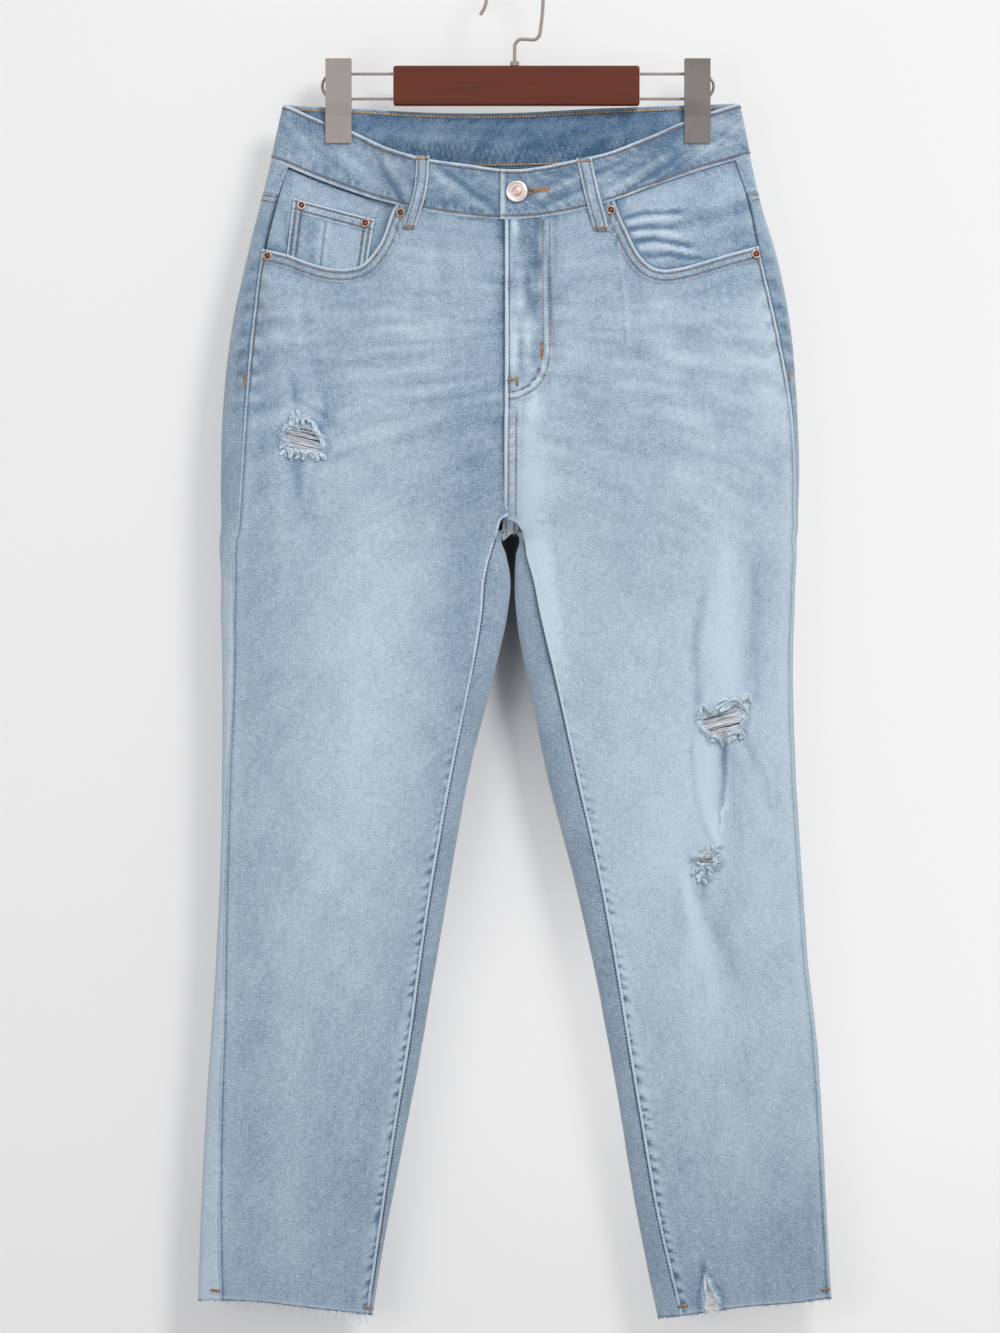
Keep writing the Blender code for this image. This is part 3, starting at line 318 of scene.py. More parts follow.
BACK_CREASES = (
    (9, -1.4, ((-120, 432), (-60, 450), (-14, 455))),
    (8, -1.2, ((120, 434), (55, 452), (10, 457))), (7, -1, ((-170, 455), (-100, 480))),
    (7, -1, ((165, 460), (96, 484))), (8, -1.6, ((-215, 640), (-150, 668), (-80, 660))),
    (8, -1.4, ((-210, 690), (-140, 706))), (7, -1.2, ((-190, 745), (-100, 728))),
    (8, -1.6, ((210, 640), (140, 662), (72, 655))),
    (8, -1.4, ((215, 700), (150, 688), (85, 706))), (7, -1.2, ((200, 750), (110, 738))),
    (12, 1.2, ((-140, 480), (-130, 610))), (12, 1.2, ((140, 480), (150, 610))),
    (9, -0.9, ((-180, 820), (-190, 980))), (9, -0.9, ((190, 820), (200, 980))),
)
# Whiskers, the faint wear lines that fan out over the hips: their height and their lines.
WHISKER_HEIGHT = 0.18
WHISKER_WIDTH = 4.5
WHISKERS = (
    ((-196, 262), (-120, 268)), ((-200, 281), (-105, 279)), ((-204, 300), (-92, 292)),
    ((-206, 321), (-84, 306)), ((-206, 345), (-72, 322)), ((-206, 372), (-66, 341)),
    ((-204, 398), (-70, 366)), ((196, 262), (120, 270)), ((202, 279), (104, 284)),
    ((206, 297), (94, 300)), ((208, 318), (84, 318)), ((208, 340), (76, 338)),
    ((206, 366), (70, 362)),
)

INSEAM_PUCKER = (9.4, 1.0)       # spacing down the seam and depth of its puckers
SIDE_PUCKER = (17.0, 1.2)
BAND_PUCKER = (8.5, 0.3)
CROTCH_PUCKER = (7.0, 0.35)


def soft_noise(u, v, seed):
    """Smooth noise from -1 to 1 with unit cells: seeded values at the corners of a square
    lattice, joined by S curves."""
    size = 64
    lattice = np.random.default_rng(seed).uniform(-1, 1, (size, size))
    u, v = np.broadcast_arrays(u, v)
    column = np.floor(u).astype(int)
    row = np.floor(v).astype(int)
    across_cell = smoothstep(u - column, 0, 1)
    down_cell = smoothstep(v - row, 0, 1)
    values = [lattice[(row + i) % size, (column + j) % size] for i in (0, 1) for j in (0, 1)]
    upper = values[0] + (values[1] - values[0]) * across_cell
    lower = values[2] + (values[3] - values[2]) * across_cell
    return upper + (lower - upper) * down_cell


def mottle(x, drop, *layers):
    """Sum of layers of soft noise, each given as its amount, cell width, cell height and seed."""
    return sum(amount * soft_noise(x / wide, drop / tall, seed)
               for amount, wide, tall, seed in layers)


def puckers(along, spacing, seed, wander=0.35, power=2):
    """Uneven pulses from 0 to 1 along a seam: an even power of a cosine whose phase and size
    wander."""
    phase = along / spacing + wander * soft_noise(along / (2.3 * spacing), 0.5, seed)
    size = 0.65 + 0.35 * soft_noise(along / (1.3 * spacing), 7.5, seed)
    return size * np.cos(math.pi * phase) ** power


def bell(value, centre, half_width):
    """1 at the centre, and on both sides the bell curve e to the minus square."""
    return np.exp(-((value - centre) / half_width) ** 2)


def bells(value, *rows):
    """Sum of bells, each given as its height, centre and half width."""
    return sum(height * bell(value, centre, half_width) for height, centre, half_width in rows)


def coordinates(x, drop):
    """Two arrays as one of (x, drop) points."""
    return np.stack(np.broadcast_arrays(x, drop), axis=-1)


def from_seams(side, x, drop):
    """Distances across a front from its inner edge and from its side seam."""
    return np.abs(x - front_end_x(side, drop)), np.abs(x - side_seam_x(side, drop))


def line_distance(x, drop, line):
    """Distance of points from a line of (x, drop) points."""
    nearest = np.full(np.broadcast(x, drop).shape, np.inf)
    for a, b in zip(line, line[1:]):
        run = np.subtract(b, a)
        t = ((x - a[0]) * run[0] + (drop - a[1]) * run[1]) / (run @ run)
        t = np.clip(t, 0, 1)
        nearest = np.minimum(nearest, np.hypot(x - a[0] - t * run[0], drop - a[1] - t * run[1]))
    return nearest


def fine_line(rows, count):
    """A smooth line of many points through (x, drop) rows."""
    x = np.linspace(rows[0][0], rows[-1][0], count)
    return coordinates(x, across(rows, x))


def from_scoop(side, x, drop):
    """Distance from the edge of a pocket's scoop."""
    return line_distance(x, drop, fine_line(SCOOP[side], 40))


# The fly's curved topstitching.
FLY_CURVE = ((22.6, 206), (22.6, 240), (22.8, 282), (23.0, 304), (21.2, 320), (17.0, 331),
             (11.0, 337.5), (3.0, 341.5), (-5.0, 343))
ARCH_TOP = 430.0         # drop at which the fronts' edges part into the arch
FLY_STEP = 5.4           # distance between the fly's two rows of stitches


def seam_puckers(side, x, drop):
    """How strongly the stitches draw the cloth in here: pulses down the inseam that lean into
    the front, and a few long uneven ones down the side seam at the hips."""
    from_inseam, from_side = from_seams(side, x, drop)
    spacing, _ = INSEAM_PUCKER
    seed = 3 if side == "r" else 4
    slanted = drop - 0.4 * from_inseam
    inseam = puckers(slanted, spacing, seed, 1.0, 4) * (
        0.75 + 0.5 * soft_noise(slanted / 2.6, 2.5, seed + 60))
    reach = 4.0 + 2.4 * soft_noise(drop / spacing, 3.5, seed)
    inseam = inseam * smoothstep(drop, CROTCH + 60, 760) * np.exp(
        -(np.maximum(from_inseam - 3.0, 0) / reach) ** 2) * smoothstep(from_inseam, 1.8, 2.8)
    spacing, _ = SIDE_PUCKER
    hip = bell(drop, 288, 62)
    beside = puckers(drop - 0.4 * from_side, spacing, 5 if side == "r" else 6)
    return inseam, hip * beside * bell(from_side, 5.5, 5.0)


def from_centre_seam(side, x, drop):
    """Distance across from the centre seam, which runs straight on where the arch begins."""
    return np.abs(x - front_end_x(side, np.minimum(drop, ARCH_TOP)))


def arch_distance(side, x, drop):
    """Distance of points from the arch that the inseams make at the crotch."""
    return line_distance(x, drop, [row[::-1] for row in ARCH[side][2:7]])


def seam_relief(side, x, drop):
    """Height of the seams of a front: a pressed ridge at each edge, a groove where the stitches
    run, and the puckers that they draw."""
    from_inseam, from_side = from_seams(side, x, drop)
    below = smoothstep(drop, CROTCH + 2, CROTCH + 24)
    lower = smoothstep(drop, 520, 1000)
    inseam_pucker, side_pucker = seam_puckers(side, x, drop)
    inseam = bells(from_inseam, (0.7, 1.3, 0.9), (-0.5, 0, 0.5), (0.35, 6.5, 4.0))
    inseam = inseam - INSEAM_PUCKER[1] * (0.5 + 0.7 * lower) * inseam_pucker
    sewn = 1 - smoothstep(drop, 326, 350)
    along_side = 0.4 * bell(from_side, 0.8, 0.8) - 0.4 * sewn * bell(from_side, 2.3, 0.9)
    along_side = along_side - SIDE_PUCKER[1] * side_pucker
    centre = from_centre_seam(side, x, drop)
    spacing, depth = CROTCH_PUCKER
    felled = smoothstep(drop, 352, 366) * (1 - smoothstep(drop, 440, 445))
    if side == "l":
        crotch = felled * (0.9 * bell(centre, 1.0, 1.3) + 0.75 * (1 - smoothstep(centre, 8.4, 10.4))
                           - depth * bell(centre, 5.4, 2.4) * puckers(drop, spacing, 8))
    else:
        crotch = -0.3 * felled * bell(centre, 0, 1.5)
    from_band = drop - across(BAND_FOOT_FRONT, x)
    spacing, depth = BAND_PUCKER
    band = -depth * np.exp(-np.maximum(from_band, 0) / 5) * puckers(x, spacing, 9)
    arch = 0.8 * bell(arch_distance(side, x, drop), 0.9, 1.2)
    return inseam * below + along_side + crotch + band + arch


def pocket_relief(side, x, drop):
    """Height of a front along its pocket's scoop: a rolled edge, then a doubled hem that ends at
    the second row of stitches, uneven where the cut edge pulls."""
    away = from_scoop(side, x, drop)
    doubled = 0.55 * (1 - smoothstep(away, 8.8, 11.5)) + 0.35 * (1 - smoothstep(away, 1.0, 2.2))
    rows = bells(away, (0.32, 3.0, 1.0), (0.32, 8.2, 1.0))
    waves = 0.35 * bell(away, 5.6, 2.0) * puckers(x + 0.6 * drop, 6.5, 11)
    return doubled - rows - waves


def inside_fly(x, drop):
    """Distance to the fly's curved stitches, and which places lie between them and its edge."""
    away = line_distance(x, drop, FLY_CURVE)
    line = np.array(FLY_CURVE, float)
    reach = np.interp(drop, line[:, 1], line[:, 0])
    return away, (x < reach) & (drop < line[-1, 1])


def fly_relief(side, x, drop):
    """Height of the fly: its facing makes the cloth inside the curve stand up a little, and its
    edge is rolled."""
    if side == "r":
        return -0.4 * bell(x, CENTRE - 6, 4.5) * (1 - smoothstep(drop, 330, 350))
    away, inside = inside_fly(x, drop)
    raised = np.where(inside, 0.5, 0.5 * np.exp(-(np.maximum(away - FLY_STEP, 0) / 2.5) ** 2))
    from_edge = np.abs(x - front_end_x(side, drop))
    edge = (0.7 * bell(from_edge, 1.0, 1.3) - 0.3 * bell(from_edge, 3.0, 1.2)) * (
        1 - smoothstep(drop, 366, 384))
    outer = ~inside * bell(away, FLY_STEP, 1.1)
    drawn = 0.5 * puckers(drop, 16, 12) * bell(x, 16, 4) * inside
    return raised + edge - drawn - 0.35 * bell(away, 0, 1.1) - 0.3 * outer


def fly_lap(side, x, drop):
    """Near the centre the left front stands off the form and the right one lies under it."""
    near = 1 - smoothstep(np.abs(x - CENTRE), *FLY_EASE)
    return 0.9 * -inward(side) * near * (1 - smoothstep(drop, *LAP_FADE))


def front_relief(side, x, drop):
    """All that moves the front's cloth off the form, in millimetres."""
    total = creases(FRONT_CREASES, x, drop)
    lines = [(WHISKER_WIDTH, WHISKER_HEIGHT, line) for line in WHISKERS]
    total = total + creases(lines, x, drop)
    total = total + mottle(x, drop, (0.45, 26, 60, 21), (0.14, 9, 14, 22))
    total = total + seam_relief(side, x, drop) + pocket_relief(side, x, drop)
    total = total + fly_relief(side, x, drop)
    return total * (1 - pinch(x, drop))


def back_relief(x, drop):
    """The same for the back panels and the yokes."""
    total = creases(BACK_CREASES, x, drop)
    total = total + mottle(x, drop, (0.5, 30, 60, 31), (0.14, 9, 14, 32))
    seam = across(YOKE_FOOT, x)
    spacing, depth = BAND_PUCKER
    total = total + 0.5 * bell(drop, seam + 5, 4) - depth * puckers(x, spacing, 33) * bell(
        drop, seam + 10, 4)
    centre = np.abs(x - CENTRE)
    above = 1 - smoothstep(drop, CROTCH - 30, CROTCH)
    total = total + above * (0.6 * bell(centre, 0, 6)
                             - depth * puckers(drop, spacing, 34) * bell(centre, 9, 3.5))
    return total * (1 - pinch(x, drop))


# ---- meshes -----------------------------------------------------------------------------------
def finished(piece, finish, slot, *nodes):
    """Give a piece its finish, or its outer and inner ones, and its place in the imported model."""
    for material in np.atleast_1d(finish):
        piece.data.materials.append(material)
    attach(piece, "root")
    if nodes:
        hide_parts(*nodes)
    return piece


def grid_faces(rows, columns):
    """Quads of a grid of points, as rows of point numbers."""
    index = np.arange(rows * columns).reshape(rows, columns)
    quads = np.stack((index[:-1, :-1], index[:-1, 1:], index[1:, 1:], index[1:, :-1]), axis=-1)
    return quads.reshape(-1, 4)


def mesh_of(name, points, faces, uv=None, fields=None):
    """A mesh from an array of points in millimetres and one of faces with equal corner counts.
    Points that no face uses are left out.  uv and fields hold one row or value for each point."""
    used = np.zeros(len(points), bool)
    used[faces.ravel()] = True
    renumbered = np.cumsum(used) - 1
    faces = renumbered[faces]
    mesh = bpy.data.meshes.new(name)
    mesh.vertices.add(int(used.sum()))
    mesh.vertices.foreach_set("co", (points[used] * MM).ravel().astype(np.float32))
    mesh.loops.add(faces.size)
    mesh.loops.foreach_set("vertex_index", faces.ravel().astype(np.int32))
    mesh.polygons.add(len(faces))
    corners = faces.shape[1]
    mesh.polygons.foreach_set("loop_start", np.arange(0, faces.size, corners, dtype=np.int32))
    mesh.update(calc_edges=True)
    if uv is not None:
        layer = mesh.uv_layers.new(name="cloth")
        layer.uv.foreach_set("vector", uv[used][faces.ravel()].ravel().astype(np.float32))
    for key, values in (fields or {}).items():
        attribute = mesh.attributes.new(key, "FLOAT", "POINT")
        attribute.data.foreach_set("value", values[used].ravel().astype(np.float32))
    mesh.shade_smooth()
    mesh.validate()
    return mesh


def add_mesh(name, mesh):
    """A named piece in the scene for a mesh."""
    piece = bpy.data.objects.new(name, mesh)
    bpy.context.scene.collection.objects.link(piece)
    return piece


def run_lengths(points, axis):
    """Distance along a grid's rows or columns from their first point."""
    steps = np.linalg.norm(np.diff(points, axis=axis), axis=-1)
    pad = [(0, 0), (0, 0)]
    pad[axis] = (1, 0)
    return np.pad(np.cumsum(steps, axis=axis), pad)


def path_lengths(path):
    """The same for a single line of points."""
    return run_lengths(path[None], 1)[0]


def read_along(at, lengths, values):
    """Rows of values, which stand at these lengths, read at others by joining them linearly."""
    return np.stack([np.interp(at, lengths, column) for column in values.T], axis=-1)


def shares(columns, rows):
    """Shares across and down a grid, from 0 to 1."""
    return np.linspace(0, 1, columns)[None], np.linspace(0, 1, rows)[:, None]


def curvature(height, spacing):
    """How much each point of a grid of heights stands above the mean of its four neighbours,
    for a grid of that mean spacing: positive on ridges, negative in grooves."""
    padded = np.pad(height, 1, mode="edge")
    mean = (padded[:-2, 1:-1] + padded[2:, 1:-1] + padded[1:-1, :-2] + padded[1:-1, 2:]) / 4
    return (height - mean) / spacing ** 2


def add_cloth(name, points, normals, thickness, finish, slot, nodes, tone, relief=None,
              rolled=False, keep=None):
    """A wall of cloth on both sides of a grid of points.  It carries its own flat coordinates in
    metres, its tone (how worn it is, with painted shade and highlights) and its wear (ridges
    rubbed pale, and grooves painted dark as shade).  Where it is rolled, the wall thins to a
    rounded edge."""
    rows, columns = points.shape[:2]
    faces = grid_faces(rows, columns)
    middle = points.reshape(-1, 3)
    a, b, c = (middle[faces[:, i]] for i in (0, 1, 2))
    turned_in = np.einsum("ij,ij->i", np.cross(b - a, c - b), normals.reshape(-1, 3)[faces[:, 0]])
    if np.median(turned_in) < 0:
        faces = faces[:, ::-1]
    if keep is not None:
        faces = faces[keep.ravel()]
    u = run_lengths(points, 1)
    uv = np.stack((u, -points[..., 2]), axis=-1).reshape(-1, 2) * MM
    spacing = np.mean(np.linalg.norm(np.diff(points, axis=0), axis=-1))
    # ridges of the relief rubbed pale as real wear, and its grooves painted dark as shade
    wear = np.zeros((rows, columns)) if relief is None else curvature(relief, spacing)
    fields = {"tone": tone.ravel(), "wear": wear.ravel()}
    piece = add_mesh(name, mesh_of(name, middle, faces, uv, fields))
    wall = piece.modifiers.new("wall", "SOLIDIFY")
    wall.thickness = thickness * MM
    wall.offset = 0.0
    wall.use_even_offset = False
    wall.material_offset = 1
    if rolled:
        edge = np.ones((rows, columns))
        edge[[0, -1]] = 0.15
        edge[:, [0, -1]] = 0.15
        edge[1:-1, [1, -2]] = 0.8
        edge[[1, -2], 1:-1] = 0.8
        group = piece.vertex_groups.new(name="edge")
        for weight in (0.15, 0.8, 1.0):
            chosen = np.flatnonzero(np.isclose(edge.ravel(), weight))
            group.add(chosen.tolist(), weight, "REPLACE")
        wall.vertex_group = "edge"
    return finished(piece, finish, slot, *nodes)


def frames_along(points, normals):
    """Unit tangents, normals and sideways directions along a line of points."""
    ahead = np.gradient(points, axis=0)
    ahead = ahead / np.linalg.norm(ahead, axis=1, keepdims=True)
    sideways = np.cross(ahead, normals)
    sideways = sideways / np.linalg.norm(sideways, axis=1, keepdims=True)
    return ahead, np.cross(sideways, ahead), sideways


def resampled(line, spacing):
    """Points at equal distances along a line of (x, drop) points."""
    line = np.array(line, float)
    lengths = path_lengths(line)
    count = max(int(round(lengths[-1] / spacing)), 2)
    return read_along((np.arange(count) + 0.5) * lengths[-1] / count, lengths, line)


# One stitch: how far along, sideways and out each point lies, in shares of its size.
STITCH_POINTS = np.array([(-0.5, 0, -0.2), *[(a, b, c) for a in (-0.3, 0.3) for b, c in (
    (0.5, -0.3), (0.36, 0.8), (-0.36, 0.8), (-0.5, -0.3))], (0.5, 0, -0.2)])
STITCH_TRIS = np.array([(0, 1 + i, 1 + (i + 1) % 4) for i in range(4)]
                       + [(9, 5 + (i + 1) % 4, 5 + i) for i in range(4)]
                       + [(1 + i, 5 + i, 5 + (i + 1) % 4) for i in range(4)]
                       + [(1 + i, 5 + (i + 1) % 4, 1 + (i + 1) % 4) for i in range(4)])


def stitch_mesh(places):
    """Points and faces of many stitches.  Each row of places is a centre, its direction along,
    sideways and out, each direction as long as the stitch is that way."""
    centres, along, sideways, out = places
    points = centres[:, None] + (STITCH_POINTS[:, 0, None] * along[:, None]
                                 + STITCH_POINTS[:, 1, None] * sideways[:, None]
                                 + STITCH_POINTS[:, 2, None] * out[:, None])
    starts = np.arange(len(centres)) * len(STITCH_POINTS)
    faces = STITCH_TRIS[None] + starts[:, None, None]
    return points.reshape(-1, 3), faces.reshape(-1, 3)


def stitches_on(points, normals, length, width, height=0.6):
    """Stitches at points in a row: their centres, and how far each reaches along, sideways and
    out."""
    ahead, out, sideways = frames_along(points, normals)
    return points, ahead * length, sideways * width, out * height


def stitch_row(line, place, spacing=2.5, length=1.95, width=1.05, height=0.6):
    """Stitches along a line of (x, drop) points; place gives their points and normals."""
    return stitches_on(*place(*resampled(line, spacing).T), length, width, height)


def tack_on(points, normals, width, lean, thick):
    """A dense ladder of threads across a row of points, which lean to and fro by turns."""
    ahead, out, sideways = frames_along(points, normals)
    step = np.linalg.norm(points[-1] - points[0]) / (len(points) - 1)
    lean = np.where(np.arange(len(points)) % 2 == 0, lean, -lean)[:, None] * step
    return points, sideways * width + ahead * lean, ahead * step * thick, out * 0.8


def bar_tack(start, end, place, bars, width):
    """A bar tack along the line from start to end."""
    at = np.array(start) + (np.array(end) - np.array(start)) * np.linspace(0, 1, bars)[:, None]
    return tack_on(*place(*at.T), width, 0.25, 1.25)


def tube_mesh(paths, radius, sides=4):
    """Points and faces of many round threads.  paths is (threads, points, 3); each section is a
    small polygon square to the path."""
    paths = np.asarray(paths, float)
    threads, count = paths.shape[:2]
    ahead = np.gradient(paths, axis=1)
    ahead = ahead / np.maximum(np.linalg.norm(ahead, axis=2, keepdims=True), 1e-9)
    aside = np.cross(ahead, np.array((0.31, 0.87, 0.39)))
    aside = aside / np.maximum(np.linalg.norm(aside, axis=2, keepdims=True), 1e-9)
    other = np.cross(ahead, aside)
    angles = np.linspace(0, 2 * math.pi, sides, endpoint=False)
    radius = np.broadcast_to(np.asarray(radius, float), (threads, count))[..., None, None]
    ring = (aside[:, :, None] * np.cos(angles)[:, None] + other[:, :, None]
            * np.sin(angles)[:, None]) * radius
    points = (paths[:, :, None] + ring).reshape(-1, 3)
    i = np.arange(count - 1)[:, None]
    k = np.arange(sides)[None]
    following = (k + 1) % sides
    quad = np.stack((i * sides + k, i * sides + following, (i + 1) * sides + following,
                     (i + 1) * sides + k), axis=-1).reshape(-1, 4)
    starts = np.arange(threads) * count * sides
    return points, (quad[None] + starts[:, None, None]).reshape(-1, 4)


def joined(parts):
    """Several (points, faces) pairs as one."""
    offset = 0
    points = []
    faces = []
    for part_points, part_faces in parts:
        points.append(part_points)
        faces.append(part_faces + offset)
        offset += len(part_points)
    return np.concatenate(points), np.concatenate(faces)


def add_stitches(name, rows, finish, slot):
    """One piece for many rows of stitches."""
    places = [np.concatenate(columns) for columns in zip(*rows)]
    finished(add_mesh(name, mesh_of(name, *stitch_mesh(places))), finish, slot)


# ---- rips -------------------------------------------------------------------------------------
# The outlines of the holes, as (x, drop) points round each.
HOLES = {
    "rip_thigh": ("r", ((-184.5, 376), (-177, 370.5), (-164.5, 372), (-156.5, 378), (-153, 385),
                        (-156, 390.5), (-172, 389), (-182, 385.5))),
    "rip_knee": ("l", ((150, 601), (163, 598.5), (175, 594.5), (184, 592.5), (182, 605),
                       (177, 614), (167.5, 620.5), (158.5, 617.5), (150.5, 610))),
    "rip_shin": ("l", ((147, 716), (154, 714.8), (161, 716.5), (161.5, 719.5), (154, 721.3),
                       (147, 719.5))),
    "rip_hem": ("l", ((152.6, 1052), (154.5, 1049.5), (156.8, 1054), (159.5, 1062), (162, 1069),
                      (164, 1084), (158, 1092), (152.6, 1084))),
}
SNAP = 1.5               # how near a hole's outline a point of the cloth is drawn onto it


def holes_of(side):
    """Names of the holes in a leg."""
    return [name for name, (half, _) in HOLES.items() if half == side]


def hole_radius(name, x, drop):
    """How far points lie from a hole's middle, with its outline at 1, and the outline's distance
    from the middle in their direction: the outline's own radii, joined linearly over the angle."""
    corners = np.array(HOLES[name][1], float)
    middle = corners.mean(axis=0)
    share = np.linspace(0, 1, 8, endpoint=False)[:, None, None]
    outline = (corners + (np.roll(corners, -1, axis=0) - corners) * share).reshape(-1, 2)
    spokes = outline - middle
    angles = np.arctan2(spokes[:, 1], spokes[:, 0])
    order = np.argsort(angles)
    radii = np.hypot(spokes[:, 0], spokes[:, 1])[order]
    outline_at = np.interp(np.arctan2(drop - middle[1], x - middle[0]), angles[order], radii,
                           period=2 * math.pi)
    return np.hypot(x - middle[0], drop - middle[1]) / outline_at, outline_at, middle


def cut_holes(side, turns, drops):
    """Draw the points near each hole onto its outline, and tell which faces are left."""
    keep = np.ones((turns.shape[0] - 1, turns.shape[1] - 1), bool)
    turns = turns.copy()
    drops = drops.copy()
    for name in holes_of(side):
        x = form(side, turns, drops)[..., 0]
        share, reach, middle = hole_radius(name, x, drops)
        snapped = (np.abs(share - 1) * reach < SNAP) & (turns > 0)
        new_x = middle[0] + (x - middle[0]) / share
        new_drop = middle[1] + (drops - middle[1]) / share
        drops[snapped] = new_drop[snapped]
        turns[snapped] = turn_at(side, new_x[snapped], new_drop[snapped])
        share[snapped] = 1.0
        corners = (share[:-1, :-1] + share[1:, :-1] + share[:-1, 1:] + share[1:, 1:]) / 4
        keep &= corners >= 0.999
    return turns, drops, keep


def rip_relief(side, x, drop):
    """The cloth round a hole: its rim curls up, and the cloth beside it puffs out unevenly."""
    total = 0.0
    for name in holes_of(side):
        share, reach, _ = hole_radius(name, x, drop)
        away = np.abs(share - 1) * reach
        uneven = 0.6 + 0.6 * soft_noise(x / 5, drop / 5, 41)
        total = total + 1.2 * uneven * np.exp(-(away / 3.2) ** 2)
    return total


# ---- tone: how far the wash and the wear have paled the cloth ---------------------------------
# For each leg, rows of drop, tone down its middle and tone along its edges.
LEG_TONE = {
    "r": ((180, 0.44, 0.34), (260, 0.52, 0.38), (330, 0.56, 0.36), (400, 0.60, 0.38),
          (480, 0.72, 0.48), (560, 0.76, 0.50), (640, 0.78, 0.50), (740, 0.74, 0.48),
          (840, 0.62, 0.46), (940, 0.55, 0.44), (1080, 0.46, 0.40)),
    "l": ((180, 0.44, 0.42), (260, 0.50, 0.54), (330, 0.56, 0.64), (400, 0.62, 0.68),
          (480, 0.69, 0.76), (560, 0.76, 0.80), (640, 0.84, 0.78), (740, 0.84, 0.74),
          (840, 0.76, 0.70), (940, 0.64, 0.58), (1010, 0.48, 0.44), (1080, 0.38, 0.36)),
}
# Places of each leg that are paler or darker than the cloth about them: patches of wash and wear,
# and also painted shade beside folds, under the fly's edge and round the bar tacks, and painted
# highlights on fold ridges.  Each row holds x, drop, half width, half height and how much.
WASH_AND_SHADE_SPOTS = {
    "r": (
        (-107, 520, 26, 190, 0.08), (-170, 305, 18, 60, 0.08), (-200, 300, 14, 70, -0.05),
        (-60, 290, 40, 70, 0.04), (-40, 535, 20, 90, -0.15), (-72, 292, 20, 60, 0.08),
        (-35, 250, 24, 50, 0.1), (-173, 404, 7, 15, -0.16), (-186, 372, 5, 12, 0.14),
        (-164, 352, 7, 14, 0.1), (-150, 366, 6, 14, -0.12), (-168, 400, 30, 34, 0.06),
        (-239, 1061.5, 5.5, 2.4, -0.35), (-118, 1076, 5.5, 2.4, -0.35), (-9, 214, 5, 8, -0.3),
        (-10, 260, 5, 60, -0.1), (-208, 300, 9, 40, 0.05),
    ),
    "l": (
        (66, 262, 24, 40, 0.05), (10, 440, 14, 90, 0.24), (26, 520, 12, 60, 0.16),
        (13, 228, 8, 28, -0.24), (14, 268, 7, 26, -0.22), (0, 240, 5, 44, 0.14),
        (8, 300, 10, 7, 0.24), (4, 333, 9, 5, -0.24), (2, 320, 8, 7, -0.12),
        (14, 318, 7, 9, -0.16), (135, 1074, 5.5, 2.4, -0.35), (249, 1061.5, 5, 2.4, -0.35),
        (168, 530, 18, 60, 0.16), (187, 560, 6, 34, -0.2), (194, 520, 9, 60, -0.1),
        (147, 590, 5, 12, -0.22), (173, 642, 6, 24, -0.22), (190, 628, 8, 16, -0.14),
        (151, 741, 5, 10, -0.24), (170, 764, 11, 22, -0.1), (144, 780, 8, 40, 0.14),
        (158, 830, 14, 40, 0.1), (146, 1036, 8, 8, 0.14), (150, 1042, 3, 9, -0.22),
        (146, 545, 7, 36, -0.14), (60, 560, 26, 120, -0.06), (120, 300, 30, 60, 0.06),
        (205, 300, 14, 60, 0.2), (148, 660, 12, 50, 0.14), (176, 712, 10, 44, -0.1),
        (152, 684, 5, 10, 0.14), (156, 648, 6, 26, 0.1), (171, 630, 4, 10, -0.24),
        (181, 642, 10, 24, -0.1), (168, 812, 10, 36, -0.06), (166.5, 632, 3, 14, -0.3),
        (168, 655, 3, 20, -0.14), (154, 668, 4, 34, 0.12), (159, 700, 4, 12, 0.14),
        (215, 1010, 30, 50, -0.05),
    ),
}


def rubbed_edge_and_groove_shade(away, stitches, rim=0.44, wide=1.5, groove=0.42):
    """Tone beside a sewn edge: rubbed pale along its rim, with painted shade in the groove under
    each row of stitches.
    """
    tone = rim * (1 - smoothstep(away, wide - 0.5, wide + 0.4))
    for row in stitches:
        # painted shade in the groove under a row of stitches
        tone = tone - groove * bell(away, row, 0.9)
    return tone


